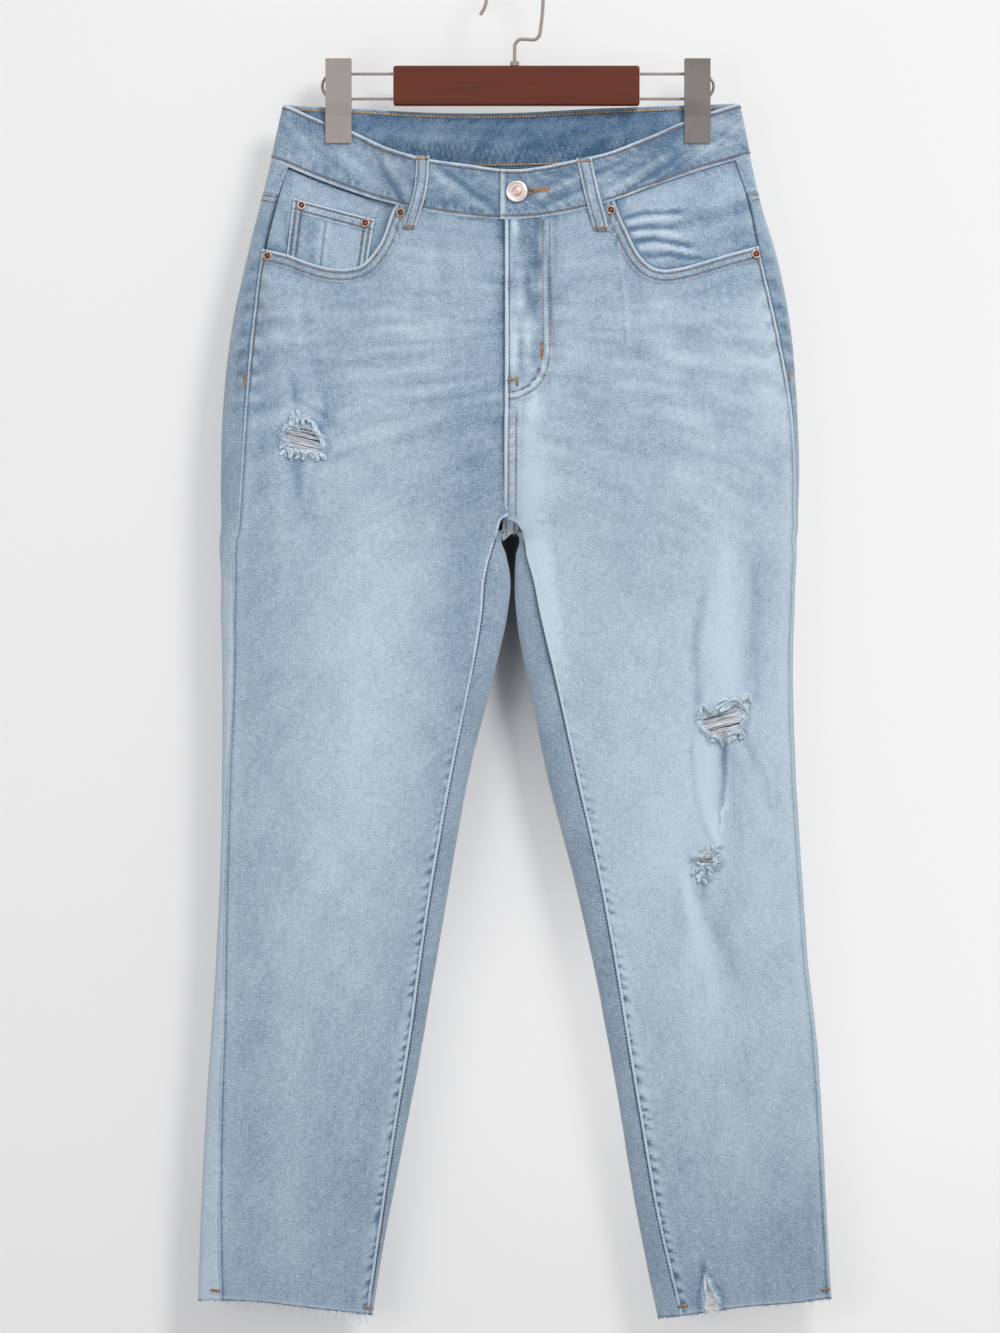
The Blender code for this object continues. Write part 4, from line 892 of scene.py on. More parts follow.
def front_seam_tone(side, x, drop):
    """Tone that a front's seams add: its rubbed edges, painted shade in the grooves of its
    stitches, in the inseam's gap and beside the seams' ridges, a painted shadow of the fly's lap,
    and the dark hollows of its puckers."""
    from_end, from_side = from_seams(side, x, drop)
    below = smoothstep(drop, CROTCH + 2, CROTCH + 14)
    inseam_pucker, side_pucker = seam_puckers(side, x, drop)
    along = 0.75 + 0.35 * soft_noise(drop / 13, 2.5, 57 if side == "r" else 58)
    sewn = 1 - smoothstep(drop, 326, 350)
    hips = 1 - 0.45 * smoothstep(drop, 330, 520)
    # the inseam, pale on its ridge, with painted shade in its gap and beside its pale line, and
    # drawn in lower down the leg
    tone = below * (0.62 * along * bell(from_end, 1.3, 0.8) - 0.5 * bell(from_end, 0, 0.6))
    drawn_in = smoothstep(drop, 520, 760) * (0.55 + 0.6 * soft_noise(drop / 5, 4.5, 60))
    tone = tone - 0.30 * drawn_in * bell(from_end, 3.0, 0.8)
    tone = tone + 0.26 * (drawn_in - inseam_pucker) * bell(from_end, 4.4, 1.8)
    # the side seam, with painted shade beside its ridge, and its stitches at the hips
    tone = tone + (0.5 + 0.5 * hips) * along * rubbed_edge_and_groove_shade(from_side, (), 0.50, 1.1)
    tone = tone + bells(from_side, (-0.38 - 0.22 * sewn, 2.3, 0.9), (0.08, 7, 4))
    tone = tone + 0.6 * (1 - smoothstep(arch_distance(side, x, drop), 1.3, 2.2))
    tone = tone - (1.3 if side == "l" else 1.15) * inseam_pucker - 0.5 * side_pucker
    tone = tone + below * 0.16 * bell(from_end, 7.5, 3.5) * smoothstep(drop, 620, 900)
    # the pocket's scoop, with painted shade under its stitches and beyond its hem, and the painted
    # shade under the waistband
    scoop = from_scoop(side, x, drop)
    tone = tone + rubbed_edge_and_groove_shade(scoop, (3.0, 8.2)) - 0.15 * bell(scoop, 11.0, 1.5)
    tone = tone + 0.3 * bell(scoop, 5.6, 1.7) * (puckers(x + 0.6 * drop, 6.5, 11) - 0.45)
    from_band = drop - across(BAND_FOOT_FRONT, x)
    tone = tone - 0.30 * np.exp(-np.maximum(from_band, 0) / 1.8)
    # the centre seam, with a painted shadow of the fly's lap on the right front, and on the left
    # front the fly, with painted shade under its stitches and in the hollows about its curve
    from_centre = from_centre_seam(side, x, drop)
    centre = 1 - smoothstep(drop, 440, 446)
    if side == "r":
        # painted shadow of the fly's lap along the right front's centre edge
        return tone - centre * bells(from_centre, (0.5, 0, 1.4), (0.22, 5, 5))
    away, inside = inside_fly(x, drop)
    outside = ~inside & (drop < FLY_CURVE[-1][1] + 9)
    tone = tone + centre * rubbed_edge_and_groove_shade(from_centre, (3.4,), 0.5, 2.2, 0.36)
    # painted shade in the grooves of the fly's stitches and in the hollows about its curve
    tone = tone - 0.36 * bell(away, 0, 0.9)
    tone = tone + outside * bells(away, (-0.36, FLY_STEP, 0.9), (0.14, FLY_STEP / 2, 1.4),
                                  (-0.10, 9.5, 2.5))
    worn = soft_noise(x / 5, drop / 16, 55)
    tone = tone + inside * (0.38 * (worn + 0.1) - 0.24 * bell(x, 17.5, 3.0))
    ladder = puckers(drop, CROTCH_PUCKER[0], 8, 0.6) - 0.45
    return tone + smoothstep(drop, 350, 362) * centre * (
        0.8 * bell(from_centre, 6.0, 1.9) * ladder - 0.36 * bell(from_centre, 9.3, 0.9))


def rip_tone(side, x, drop):
    """Tone round the holes: pale where the weave has come loose, with a painted shadow just outside
    that.
    """
    tone = 0.0
    for name in holes_of(side):
        share, reach, _ = hole_radius(name, x, drop)
        # pale loose weave at the rim, then a painted shadow just outside it
        tone = tone + bells(np.abs(share - 1) * reach, (0.32, 0, 2.2), (-0.20, 5.6, 1.9))
    return tone


def off_middle(side, x, drop):
    """How far across a leg a place lies from its middle, as a share of the leg's width."""
    outer = leg(side, "outer", drop)
    return np.abs(x - outer) / np.abs(leg(side, "inner", drop) - outer) - 0.5


def front_tone(side, x, drop):
    """Tone of a front: read down the leg, paler along its middle, with spots of wash and of painted
    shade and highlight, painted shade on its folds and creases, and changed along its seams and
    round its holes."""
    levels, middles, edges = zip(*LEG_TONE[side])
    middle = smooth_line(drop, levels, middles)
    edge = smooth_line(drop, levels, edges)
    tone = edge + (middle - edge) * bell(off_middle(side, x, drop), 0, 0.30)
    # patches of wash and wear, with painted shade and highlights beside folds, the fly and the bar
    # tacks
    for spot_x, spot_drop, wide, tall, amount in WASH_AND_SHADE_SPOTS[side]:
        tone = tone + amount * bell(x, spot_x, wide) * bell(drop, spot_drop, tall)
    tone = tone + mottle(x, drop, (0.05, 30, 45, 51), (0.04, 11, 15, 52))
    whiskers = creases([(6.0, 1.0, line) for line in WHISKERS], x, drop)
    level = drop - 0.0035 * (drop - 285) * (np.abs(x) - 130)
    fine = mottle(x, level, (1.0, 34, 6.5, 56), (0.7, 17, 4.2, 59))
    tone = tone + (0.05 * (whiskers - 0.4) + 0.11 * fine) * bell(drop, 320, 110) + 0.025 * fine
    # painted shade: the creases' and folds' ridges are painted paler and their troughs darker
    tone = tone + 0.02 * creases(FRONT_CREASES, x, drop) + 0.02 * creases(FRONT_FOLDS, x, drop)
    tone = tone + front_seam_tone(side, x, drop) + rip_tone(side, x, drop)
    return tone + bells(across(HEM[side], x) - drop, (0.22, 1.8, 1.0), (-0.55, 0, 0.9))


def back_tone(side, x, drop):
    """Tone of the back: paler over the seat and down the calf's middle."""
    along = smooth_line(drop, (160, 240, 330, 430, 620, 760, 1080),
                        (0.4, 0.46, 0.66, 0.52, 0.6, 0.5, 0.36))
    tone = 0.36 + (along - 0.36) * bell(off_middle(side, x, drop), 0, 0.32)
    centre = np.abs(x - CENTRE) + 40 * smoothstep(drop, CROTCH - 6, CROTCH)
    for away in (np.abs(drop - across(YOKE_FOOT, x)), centre):
        tone = tone + bells(away, (0.2, 1.5, 1.5), (-0.25, 0, 1.0))
    tone = tone - 0.5 * bell(across(HEM[side], x) - drop, 0, 1.0)
    return tone + mottle(x, drop, (0.07, 30, 45, 53), (0.05, 11, 19, 54))


# ---- panels -----------------------------------------------------------------------------------
HIP_LEVEL = 290.0
FOOT_LEVEL = 1040.0
NEAR_EDGE = 0.95         # spacing of the close rows and columns beside an edge


def panel_drops(top, hem, spacing):
    """Drops of a panel's rows: close ones along its top edge, then down to the hips, down the
    leg, and on to the hem, where they are close again."""
    close_rows = 13
    inset = close_rows * NEAR_EDGE
    edge = np.arange(close_rows)[:, None] * NEAR_EDGE
    hips = np.linspace(0, 1, int((HIP_LEVEL - 215) / spacing), endpoint=False)[:, None]
    down = np.linspace(HIP_LEVEL, FOOT_LEVEL, int((FOOT_LEVEL - HIP_LEVEL) / spacing))
    foot = np.linspace(0, 1, int((1072 - FOOT_LEVEL) / spacing), endpoint=False)[1:, None]
    close = np.array((3.0, 2.0, 1.0, 0.0))[:, None]
    return np.concatenate((top + edge, top + inset + (HIP_LEVEL - top - inset) * hips,
                           down[:, None] + 0 * top,
                           FOOT_LEVEL + (hem - 4 - FOOT_LEVEL) * foot, hem - close))


EDGE_COLUMNS = 15        # close columns beside each edge of a front


def front_turns(side, drops):
    """Turns of a front's columns from the side seam to its inner edge.  Between the close ones
    beside each edge they lie half-way between equal steps of x and equal steps of turn, so that
    they stay close where the leg turns over."""
    count = drops.shape[1]
    middle = count - 2 * EDGE_COLUMNS
    toward = inward(side)
    start = side_seam_x(side, drops)
    end = front_end_x(side, drops)
    beside = NEAR_EDGE * np.arange(EDGE_COLUMNS)
    inset = NEAR_EDGE * EDGE_COLUMNS
    share = np.linspace(0, 1, middle)
    first = start[:, :EDGE_COLUMNS] + toward * beside
    last = end[:, -EDGE_COLUMNS:] - toward * beside[::-1]
    inner = slice(EDGE_COLUMNS, count - EDGE_COLUMNS)
    low = start[:, inner] + toward * inset
    high = end[:, inner] - toward * inset
    by_x = turn_at(side, low + (high - low) * share, drops[:, inner])
    by_turn = by_x[:, :1] + (by_x[:, -1:] - by_x[:, :1]) * share
    return np.concatenate((turn_at(side, first, drops[:, :EDGE_COLUMNS]), (by_x + by_turn) / 2,
                           turn_at(side, last, drops[:, -EDGE_COLUMNS:])), axis=1)


def back_turns(side, drops):
    """Turns of a back's columns, evenly from the side seam round to the centre back or inseam."""
    share = np.linspace(0, 1, drops.shape[1])
    start = turn_at(side, side_seam_x(side, drops), drops)
    inseam = turn_at(side, front_end_x(side, drops), drops) - 2 * math.pi
    end = np.where(drops < CROTCH, -sweep(drops), inseam)
    return start + (end - start) * share


def fitted_grid(side, turns_of, count, drops_between):
    """Turns and drops of a grid whose upper and lower edges are drops over x.  The x of those
    edges depends on the drops in turn, so both are found by repeated substitution."""
    top_x = foot_x = np.linspace(leg(side, "outer", BAND_LEVEL), CENTRE, count)
    is_front = top_x != CENTRE
    for _ in range(5):
        drops = drops_between(top_x, foot_x, is_front)
        turns = turns_of(side, drops)
        x = form(side, turns, drops)[..., 0]
        top_x = x[0]
        foot_x = x[-1]
        is_front = turns[0] > 0
    return turns, drops, x


def add_front(side, finish):
    """A front: from the waistband and the pocket's scoop down to the raw hem, with its rips."""
    def drops_between(top_x, foot_x, is_front):
        top = np.where(is_front, across(BAND_FOOT_FRONT, top_x), 156.0)
        top = np.maximum(top, across(SCOOP[side], top_x))
        return panel_drops(top, across(HEM[side], foot_x), 2.5)

    turns, drops, _ = fitted_grid(side, front_turns, 104, drops_between)
    turns, drops, keep = cut_holes(side, turns, drops)
    x = form(side, turns, drops)[..., 0]
    relief = front_relief(side, x, drops) + rip_relief(side, x, drops)
    points, normals = lifted(side, turns, drops, relief + fly_lap(side, x, drops))
    name = "front_" + side
    piece = add_cloth(name, points, normals, CLOTH, finish, "denim", ("front_panel_" + side,),
                      front_tone(side, x, drops), relief, keep=keep)


def add_back(side, finish):
    """A back: from the yoke's seam over the seat and down to the raw hem.  Its strips beside the
    front have a tone of their own: painted paler below the crotch, a painted light where they turn
    away from the lamps, with painted shade in the inseam's gap."""
    def drops_between(top_x, foot_x, _):
        return panel_drops(across(YOKE_FOOT, top_x), across(HEM[side], foot_x), 4.0)

    turns, drops, x = fitted_grid(side, back_turns, 70, drops_between)
    is_front = turns > 0
    relief = np.where(is_front, 0.15 * soft_noise(x / 9, drops / 14, 32), back_relief(x, drops))
    points, normals = lifted(side, turns, drops, relief)
    from_end, from_side = from_seams(side, x, drops)
    # painted light: the strip is painted paler lower down, where it turns away from the lamps
    strip = 0.36 + 0.42 * smoothstep(drops, 400, 560) + 0.06 * soft_noise(x / 11, drops / 19, 54)
    strip = strip - 0.7 * seam_puckers(side, x, drops)[1]
    strip = strip - (0.5 - 0.6 * smoothstep(drops, 330, 420)) * bell(from_side, 0, 1.2)
    # the inseam's pressed edge rubbed pale, with painted shade in its gap
    strip = strip + (drops > CROTCH) * bells(from_end, (0.3, 1.8, 0.8), (-0.5, 0, 0.9),
                                             (0.15, 4, 8))
    strip = strip - 0.3 * bell(drops, across(YOKE_FOOT, x), 1.2)
    tone = np.where(is_front, strip, back_tone(side, x, drops))
    piece = add_cloth("back_" + side, points, normals, CLOTH, finish, "denim",
                      ("back_panel_" + side,), tone, relief)


def band_foot(x, is_front):
    """Drop of the waistband's foot, in front or behind."""
    return np.where(is_front, across(BAND_FOOT_FRONT, x), across(BAND_FOOT_BACK, x))


def band_top(x, is_front):
    """Drop of the waistband's upper edge, in front or behind."""
    return np.where(is_front, across(BAND_TOP_FRONT, x), across(BAND_TOP_BACK, x))


def add_yoke(side, finish):
    """A yoke: the shaped strip between the waistband and the back."""
    def drops_between(top_x, foot_x, is_front):
        top = band_foot(top_x, is_front)
        return top + (across(YOKE_FOOT, foot_x) - top) * np.linspace(0, 1, 22)[:, None]

    turns, drops, x = fitted_grid(side, back_turns, 80, drops_between)
    relief = back_relief(x, drops) * (turns < 0)
    points, normals = lifted(side, turns, drops, relief)
    piece = add_cloth("yoke_shell_" + side, points, normals, CLOTH, finish, "denim",
                      ("yoke_" + side,), back_tone(side, x, drops), relief)


FACING_DEPTH = {"r": 2.9, "l": 1.6}
FACING_UNDER = 8.0
# Creases of the facings, which show in the pockets' mouths.
FACING_CREASES = {
    "r": (
        (4, -0.7, ((-183, 205), (-178, 240))), (5, -0.6, ((-103, 200), (-112, 236))),
    ),
    "l": (
        (2.4, -1.2, ((86, 204), (104, 199), (128, 197))),
        (2.2, 0.7, ((90, 208), (110, 204), (130, 203))),
        (2.4, -1.2, ((90, 213), (108, 210), (124, 210))),
        (2.2, 0.7, ((94, 217), (112, 215), (128, 216))),
        (2.6, -1.4, ((93, 223), (112, 220), (136, 224))),
        (2.4, 0.7, ((100, 228), (120, 226), (140, 230))),
        (3, -1, ((104, 235), (124, 232), (146, 236))), (8, -0.9, ((140, 205), (176, 197))),
        (7, -0.6, ((150, 224), (186, 214))),
    ),
}


def facing_grid(side, columns, rows):
    """X places and drops of the cloth behind a pocket's scoop, which runs on under the front."""
    scoop_end = SCOOP["r"][-1][0] if side == "r" else SCOOP["l"][0][0]
    inner_end = scoop_end + inward(side) * FACING_UNDER
    along, steps = shares(columns, rows)
    places = side_seam_x(side, BAND_LEVEL) * (1 - along) + inner_end * along
    for _ in range(4):
        x = places[0]
        top = across(BAND_FOOT_FRONT, x)
        foot = np.maximum(top, across(SCOOP[side], x)) + FACING_UNDER
        drops = top + (foot - top) * steps
        places = side_seam_x(side, drops) * (1 - along) + inner_end * along
    return places, drops




def add_facing(side, finish):
    """The pocket's facing, seen in the mouth of the pocket."""
    x, drops = facing_grid(side, 64, 32)
    scoop = from_scoop(side, x, drops)
    folds = creases(FACING_CREASES[side], x, drops) + 0.25 * soft_noise(x / 14, drops / 12, 61)
    relief = folds * smoothstep(scoop, 0, 6)
    points, normals = lifted(side, turn_at(side, x, drops), drops, relief - FACING_DEPTH[side])
    tone = (0.44 if side == "l" else 0.40) + 0.10 * soft_noise(x / 12, drops / 16, 62)
    # painted shade: fold ridges paler and troughs darker, a painted shadow under the scoop's edge,
    # and painted shade under the waistband
    tone = tone + 0.20 * relief - 0.40 * np.exp(-scoop / 3.5)
    tone = tone - 0.35 * np.exp(-(drops - drops[:1]) / 2.0)
    piece = add_cloth("facing_" + side, points, normals, 1.0, finish, "facing_denim",
                      ("pocket_facing_" + side,), tone, relief)


# The coin pocket: its depth under the form, x and drops of its mouth's ends, how far it leans, and
# how far it runs on under the scoop.
COIN_DEPTH = 1.5
COIN_X = (-177.0, -112.0)
COIN_TOP = (186.5, 204.0)
COIN_SLANT = -6.0
COIN_UNDER = 4.0


def coin_place(across_share, down_share):
    """x and drop of a place on the coin pocket, from its shares across and down."""
    x = COIN_X[0] + (COIN_X[1] - COIN_X[0]) * across_share + COIN_SLANT * down_share
    top = COIN_TOP[0] + (COIN_TOP[1] - COIN_TOP[0]) * across_share
    return x, top + (across(SCOOP["r"], x) + COIN_UNDER - top) * down_share


def add_coin_pocket(finish):
    """The coin pocket on the right facing: a doubled hem along its mouth, turned-in sides, and a
    crease down its middle."""
    x, drops = coin_place(*shares(66, 60))
    from_top = drops - drops[:1]
    from_side = np.minimum(x - x[:, :1], x[:, -1:] - x)
    crease = x + 150 + 0.12 * (drops - 195)
    relief = 0.5 * (1 - smoothstep(from_top, 9, 11.5)) + 0.3 * (1 - smoothstep(from_side, 5, 7))
    relief = relief - bells(from_top, (0.25, 2.2, 1.2), (0.25, 8.5, 1.2))
    relief = relief - 0.5 * bell(crease, 0, 2.6) * smoothstep(from_top, 8, 16)
    relief = relief + 0.3 * soft_noise(x / 10, drops / 14, 63)
    points, normals = lifted("r", turn_at("r", x, drops), drops, relief - COIN_DEPTH)
    tone = 0.42 + 0.10 * soft_noise(x / 9, drops / 15, 64)
    fold = crease + 1.5
    # painted shade and highlight: darker on one side of the fold, paler on the other, with painted
    # highlights along it
    below = smoothstep(from_top, 9, 13)
    tone = tone + below * (0.14 * smoothstep(fold, -2, 4) * bell(x, -136, 16)
                           - 0.12 * (1 - smoothstep(fold, -8, 0))
                           + bells(fold, (0.22, 0, 0.9), (0.16, 3.4, 0.9)))
    tone = tone + rubbed_edge_and_groove_shade(from_top, (2.2, 8.5)) + rubbed_edge_and_groove_shade(from_side, (2.9, 7.5))
    # painted shade in the crease's trough
    tone = tone - 0.14 * bell(crease, 0, 1.6) * smoothstep(from_top, 8, 14)
    piece = add_cloth("coin_pocket_shell", points, normals, 0.8, finish, "denim",
                      ("coin_pocket",), tone, relief, rolled=True)


# A back pocket: distances of its sides from the centre at its top and its foot, drops of its
# mouth's ends and of its foot's corners, and how far its point hangs below them.
POCKET_INNER = (46.0, 52.0)
POCKET_OUTER = (172.0, 168.0)
POCKET_TOP = (252.0, 248.0)
POCKET_FOOT = 378.0
POCKET_POINT = 16.0


def back_pocket_place(side, across_share, down_share):
    """x and drop of a place on a back pocket, whose foot comes to a shallow point."""
    inner = POCKET_INNER[0] + (POCKET_INNER[1] - POCKET_INNER[0]) * down_share
    outer = POCKET_OUTER[0] + (POCKET_OUTER[1] - POCKET_OUTER[0]) * down_share
    x = CENTRE - inward(side) * (inner + (outer - inner) * across_share)
    top = POCKET_TOP[0] + (POCKET_TOP[1] - POCKET_TOP[0]) * across_share
    foot = POCKET_FOOT + POCKET_POINT * (1 - np.abs(2 * across_share - 1))
    return x, top + (foot - top) * down_share


def add_back_pocket(side, finish):
    """A patch pocket: its points are the back's own, moved out."""
    aside, steps = shares(64, 72)
    x, drops = back_pocket_place(side, aside, steps)
    from_edge = np.minimum(np.minimum(aside, 1 - aside) * 120, (1 - steps) * 130)
    from_top = drops - drops[:1]
    relief = 0.35 * (1 - smoothstep(from_edge, 8, 10)) + 0.45 * (1 - smoothstep(from_top, 12, 14))
    relief = relief - bells(from_edge, (0.2, 2.5, 1.3), (0.2, 8.5, 1.3))
    relief = relief + 0.2 * soft_noise(x / 12, drops / 12, 65)
    points, normals = lifted(side, -turn_at(side, x, drops), drops,
                             CLOTH / 2 + 0.3 + 0.5 + relief + back_relief(x, drops))
    tone = back_tone(side, x, drops) + 0.1 * (1 - smoothstep(from_edge, 0, 4))
    piece = add_cloth("pocket_" + side, points, normals, 1.0, finish, "denim",
                      ("back_pocket_" + side,), tone, relief, rolled=True)


# ---- waistband, loops and zip -----------------------------------------------------------------
def band_routes(start_x, end_x):
    """Turns at equal distances along the form at the band's level: round the right side from
    one x on the front to the centre back, and on round the left side to another x."""
    middle = -math.pi / 2
    for side, first, last in (("r", turn_at("r", start_x, BAND_LEVEL), middle),
                              ("l", middle, turn_at("l", end_x, BAND_LEVEL))):
        turns = np.linspace(first, last, 1200)
        lengths = path_lengths(form(side, turns, 175.0))
        yield np.interp(np.linspace(0, lengths[-1], int(lengths[-1] / 2.4)), lengths, turns)


# Shares down the band of its rows, which are close along both edges.
BAND_SHARES = np.concatenate((np.linspace(0, 0.13, 7), np.linspace(0.13, 0.87, 18)[1:-1],
                              np.linspace(0.87, 1, 7)))


def band_stretch(side, turns, lift_over, shares_down=BAND_SHARES):
    """Points, normals, x and drops of a stretch of the band."""
    is_front = turns > 0
    drops = np.full((len(shares_down), len(turns)), 150.0)
    for _ in range(6):
        x = form(side, turns, drops)[..., 0]
        top = band_top(x[0], is_front)
        drops = top + (band_foot(x[-1], is_front) - top) * shares_down[:, None]
    points, normals = lifted(side, turns, drops, lift_over(x) * is_front)
    return points, normals, x, drops


def under_lift(x):
    """How far the band's under end sinks below the upper one."""
    return -OVERLAP * smoothstep(x, *UNDER_EASE)


def over_lift(x):
    """How far the band's upper end rises above the under one."""
    return OVERLAP * (1 - smoothstep(x, *UPPER_EASE))


# Slanting folds of the band in front, then behind, in the same columns as the large folds.
BAND_CREASES = (
    (3.5, 0.7, ((78, 182), (116, 156))), (3, 0.6, ((96, 183), (150, 146))),
    (2.5, -0.6, ((88, 184), (134, 152))), (3, 0.6, ((140, 158), (176, 132))),
    (2.5, -0.5, ((132, 160), (168, 134))), (3, -0.5, ((60, 170), (84, 160))),
    (3.5, 0.6, ((22, 186), (50, 172))), (3, -0.5, ((28, 192), (54, 180))),
    (4, 0.6, ((-100, 158), (-82, 186))), (3, -0.6, ((-106, 160), (-90, 190))),
    (4, 0.6, ((-150, 140), (-118, 168))), (3, -0.5, ((-160, 146), (-128, 172))),
    (4, 0.5, ((-180, 128), (-160, 150))), (4, 0.5, ((-60, 172), (-26, 196))),
    (3, -0.4, ((-54, 168), (-22, 190))),
)
BAND_BACK_CREASES = (
    (5, 0.35, ((-110, 134), (-40, 138))), (5, -0.35, ((-20, 134), (60, 132))),
    (4, -0.3, ((70, 140), (120, 130))),
)


BAND_HEIGHT = 41.0


def add_waistband(finish):
    """The band, one long strip from its under end round the right side, the back and the left
    side to the upper end, which laps over the start.  Its edges are rolled, its two rows of
    stitches lie in grooves, and the seam draws small waves into its lower edge."""
    right, left = band_routes(UNDER_END, UPPER_END)
    left = left[1:]
    points, normals, x, drops = (np.concatenate(pair, axis=1) for pair in zip(
        band_stretch("r", right, under_lift), band_stretch("l", left, over_lift)))
    along = run_lengths(points, 1)
    share = BAND_SHARES[:, None]
    down = share * BAND_HEIGHT
    is_front = np.concatenate((right > 0, left > 0))[None]
    drawn = puckers(along, 7.5, 71, 0.7, 4)
    relief = 0.35 * np.sin(math.pi * share) ** 0.7
    relief = relief - bells(down, (0.35, 3.1, 1.0), (0.35, 37.9, 1.0))
    relief = relief - 0.30 * drawn * bell(down, 34.5, 2.6)
    relief = relief - 0.20 * puckers(along, 10.0, 72) * bell(down, 6.5, 3.0)
    relief = relief + mottle(along, down, (0.35, 26, 22, 73), (0.22, 9, 8, 76))
    folds = creases(BAND_CREASES, x, drops) * is_front
    folds = folds + creases(BAND_BACK_CREASES, x, drops) * ~is_front
    relief = (relief + folds) * (1 - 0.8 * pinch(x, drops))
    points = points + normals * relief[..., None]
    tone = 0.24 + mottle(along, down, (0.17, 20, 11, 74), (0.11, 6, 5, 75))
    tone = tone + 0.05 * bell(x, -180, 30) - 0.24 * bell(x, 116, 22) * is_front
    tone = tone + 0.12 * ~is_front * (0.6 + soft_noise(along / 9, down / 12, 77))
    tone = tone + 0.5 * ~is_front * (puckers(along, 5.2, 78, 0.7, 4) - 0.5) * smoothstep(
        down, 17, 27)
    tone = tone + rubbed_edge_and_groove_shade(down, (3.1,), 0.5) + rubbed_edge_and_groove_shade(BAND_HEIGHT - down, (3.1,))
    # painted shade: fold ridges paler and troughs darker, and darker in the waves drawn in by the
    # seam and below the upper row
    tone = tone + 0.22 * folds - 0.20 * drawn * bell(down, 34.5, 2.2) - 0.12 * bell(down, 5.5, 2.0)
    # painted highlight towards x 180, above the band's foot
    tone = tone + 0.22 * bell(x, 180, 34) * (x > 100) * (down < 30)
    tone = tone + rubbed_edge_and_groove_shade(along[:, -1:] - along, (4.2,), 0.55, 2.8, 0.3)
    piece = add_cloth("waistband_shell", points, normals, BAND, finish, "denim", ("waistband",),
                      tone, relief, rolled=True)


LOOP_PLY = 1.6           # wall of a belt loop, and how far it bows off the band
LOOP_BOW = 1.6
# Belt loops: name, face (1 in front, -1 behind), half, route as (x, drop) points and width.
LOOPS = (
    ("front_r", 1, "r", ((-72.8, 154), (-74.8, 181), (-84.4, 213)), 10.0),
    ("front_l", 1, "l", ((55.2, 156), (61.0, 182), (69.6, 214.5)), 12.0),
    ("side_r", -1, "r", ((-161, 114), (-162, 144), (-163, 172)), 11.0),
    ("side_l", -1, "l", ((164, 113), (165, 142), (166, 170)), 11.0),
    ("back", -1, "r", ((-1.2, 122), (-1.2, 150), (-1.2, 177)), 11.0),
)


def loop_surface(face, side, route, width, across_share, down_share, lift=0.0):
    """Points and normals on a belt loop: a strip along its route that stands off the band
    between its ends by half a sine, and whose long edges fall away a little."""
    route = np.array(route, float)
    drops = route[0, 1] + (route[-1, 1] - route[0, 1]) * down_share
    x = smooth_line(drops, route[:, 1], route[:, 0]) + width * (across_share - 0.5)
    stand = BAND / 2 + 0.3 + LOOP_PLY / 2 + LOOP_BOW * np.sin(math.pi * down_share)
    stand = stand - 0.5 * np.abs(2 * across_share - 1) ** 4 + lift
    return lifted(side, face * turn_at(side, x, drops), drops, stand)


def add_loop(name, face, side, route, width, finish):
    """A belt loop: a folded strip with a raised middle between its two rows of stitches."""
    aside, steps = shares(16, 40)
    points, normals = loop_surface(face, side, route, width, aside, steps)
    middle = np.abs(2 * aside - 1) + 0 * steps
    relief = bells(middle, (0.3, 0, 0.35), (-0.25, 0.55, 0.12))
    relief = relief + 0.12 * soft_noise(aside * 4, steps * 10, 81)
    relief = relief - bells(steps, (0.5, 0.0, 0.05), (0.5, 1.0, 0.05))
    # pale rubbed edges, painted shade under the two rows of stitches, and painted shade at both
    # ends where the loop tucks under
    tone = 0.44 + 0.36 * smoothstep(middle, 0.72, 0.92) - 0.26 * bell(middle, 0.58, 0.14)
    tone = tone + 0.16 * soft_noise(aside * 3, steps * 9, 82)
    tone = tone - bells(steps, (0.4, 0.0, 0.03), (0.4, 1.0, 0.03))
    piece = add_cloth("loop_" + name, points + normals * relief[..., None], normals, LOOP_PLY,
                      finish, "denim", ("belt_loop_" + name,), tone, relief, rolled=True)


ZIP_DROPS = (212.0, 330.0)
ZIP_START = 0.5
ZIP_WIDTH = 22.0


def add_zip(finish, metal):
    """The closure's tape behind the fronts, and its two rows of small metal teeth."""
    aside, steps = shares(14, 60)
    drops = ZIP_DROPS[0] + (ZIP_DROPS[1] - ZIP_DROPS[0]) * steps
    x = CENTRE + ZIP_START + ZIP_WIDTH * aside
    points, normals = lifted("l", turn_at("l", x, drops), drops, -2.3)
    tape = add_cloth("zip_tape", points, normals, 1.0, finish, "zip_tape", ("zip",),
                     np.full(points.shape[:2], 0.2))

    def place(x, drop):
        points, normals = lifted("l", turn_at("l", x, drop), drop, -3.1)
        return points, -normals

    rows = []
    for way in (-1, 1):
        middle = CENTRE + 11.5 + 1.2 * way
        line = ((middle, 216 + 0.6 * way), (middle, 326 + 0.6 * way))
        rows.append(stitch_row(line, place, 2.4, 1.3, 3.2, 1.0))
    add_stitches("zip_teeth", rows, metal, "nickel")


# ---- sewing -----------------------------------------------------------------------------------
THREAD_LIFT = CLOTH / 2 + 0.12
BAND_LIFT = BAND / 2 + 0.15


def front_place(side):
    """Points and normals of stitches on a front."""
    def place(x, drop):
        lift = THREAD_LIFT + fly_lap(side, x, drop) + front_relief(side, x, drop)
        return lifted(side, turn_at(side, x, drop), drop, lift)
    return place


def facing_place(x, drop):
    """The same on the coin pocket."""
    return lifted("r", turn_at("r", x, drop), drop, 0.95 - COIN_DEPTH)


def back_place(side, stand):
    """The same on a back, its yoke or its pocket, which stands off the back."""
    def place(x, drop):
        lift = THREAD_LIFT + stand + back_relief(x, drop)
        return lifted(side, -turn_at(side, x, drop), drop, lift)
    return place


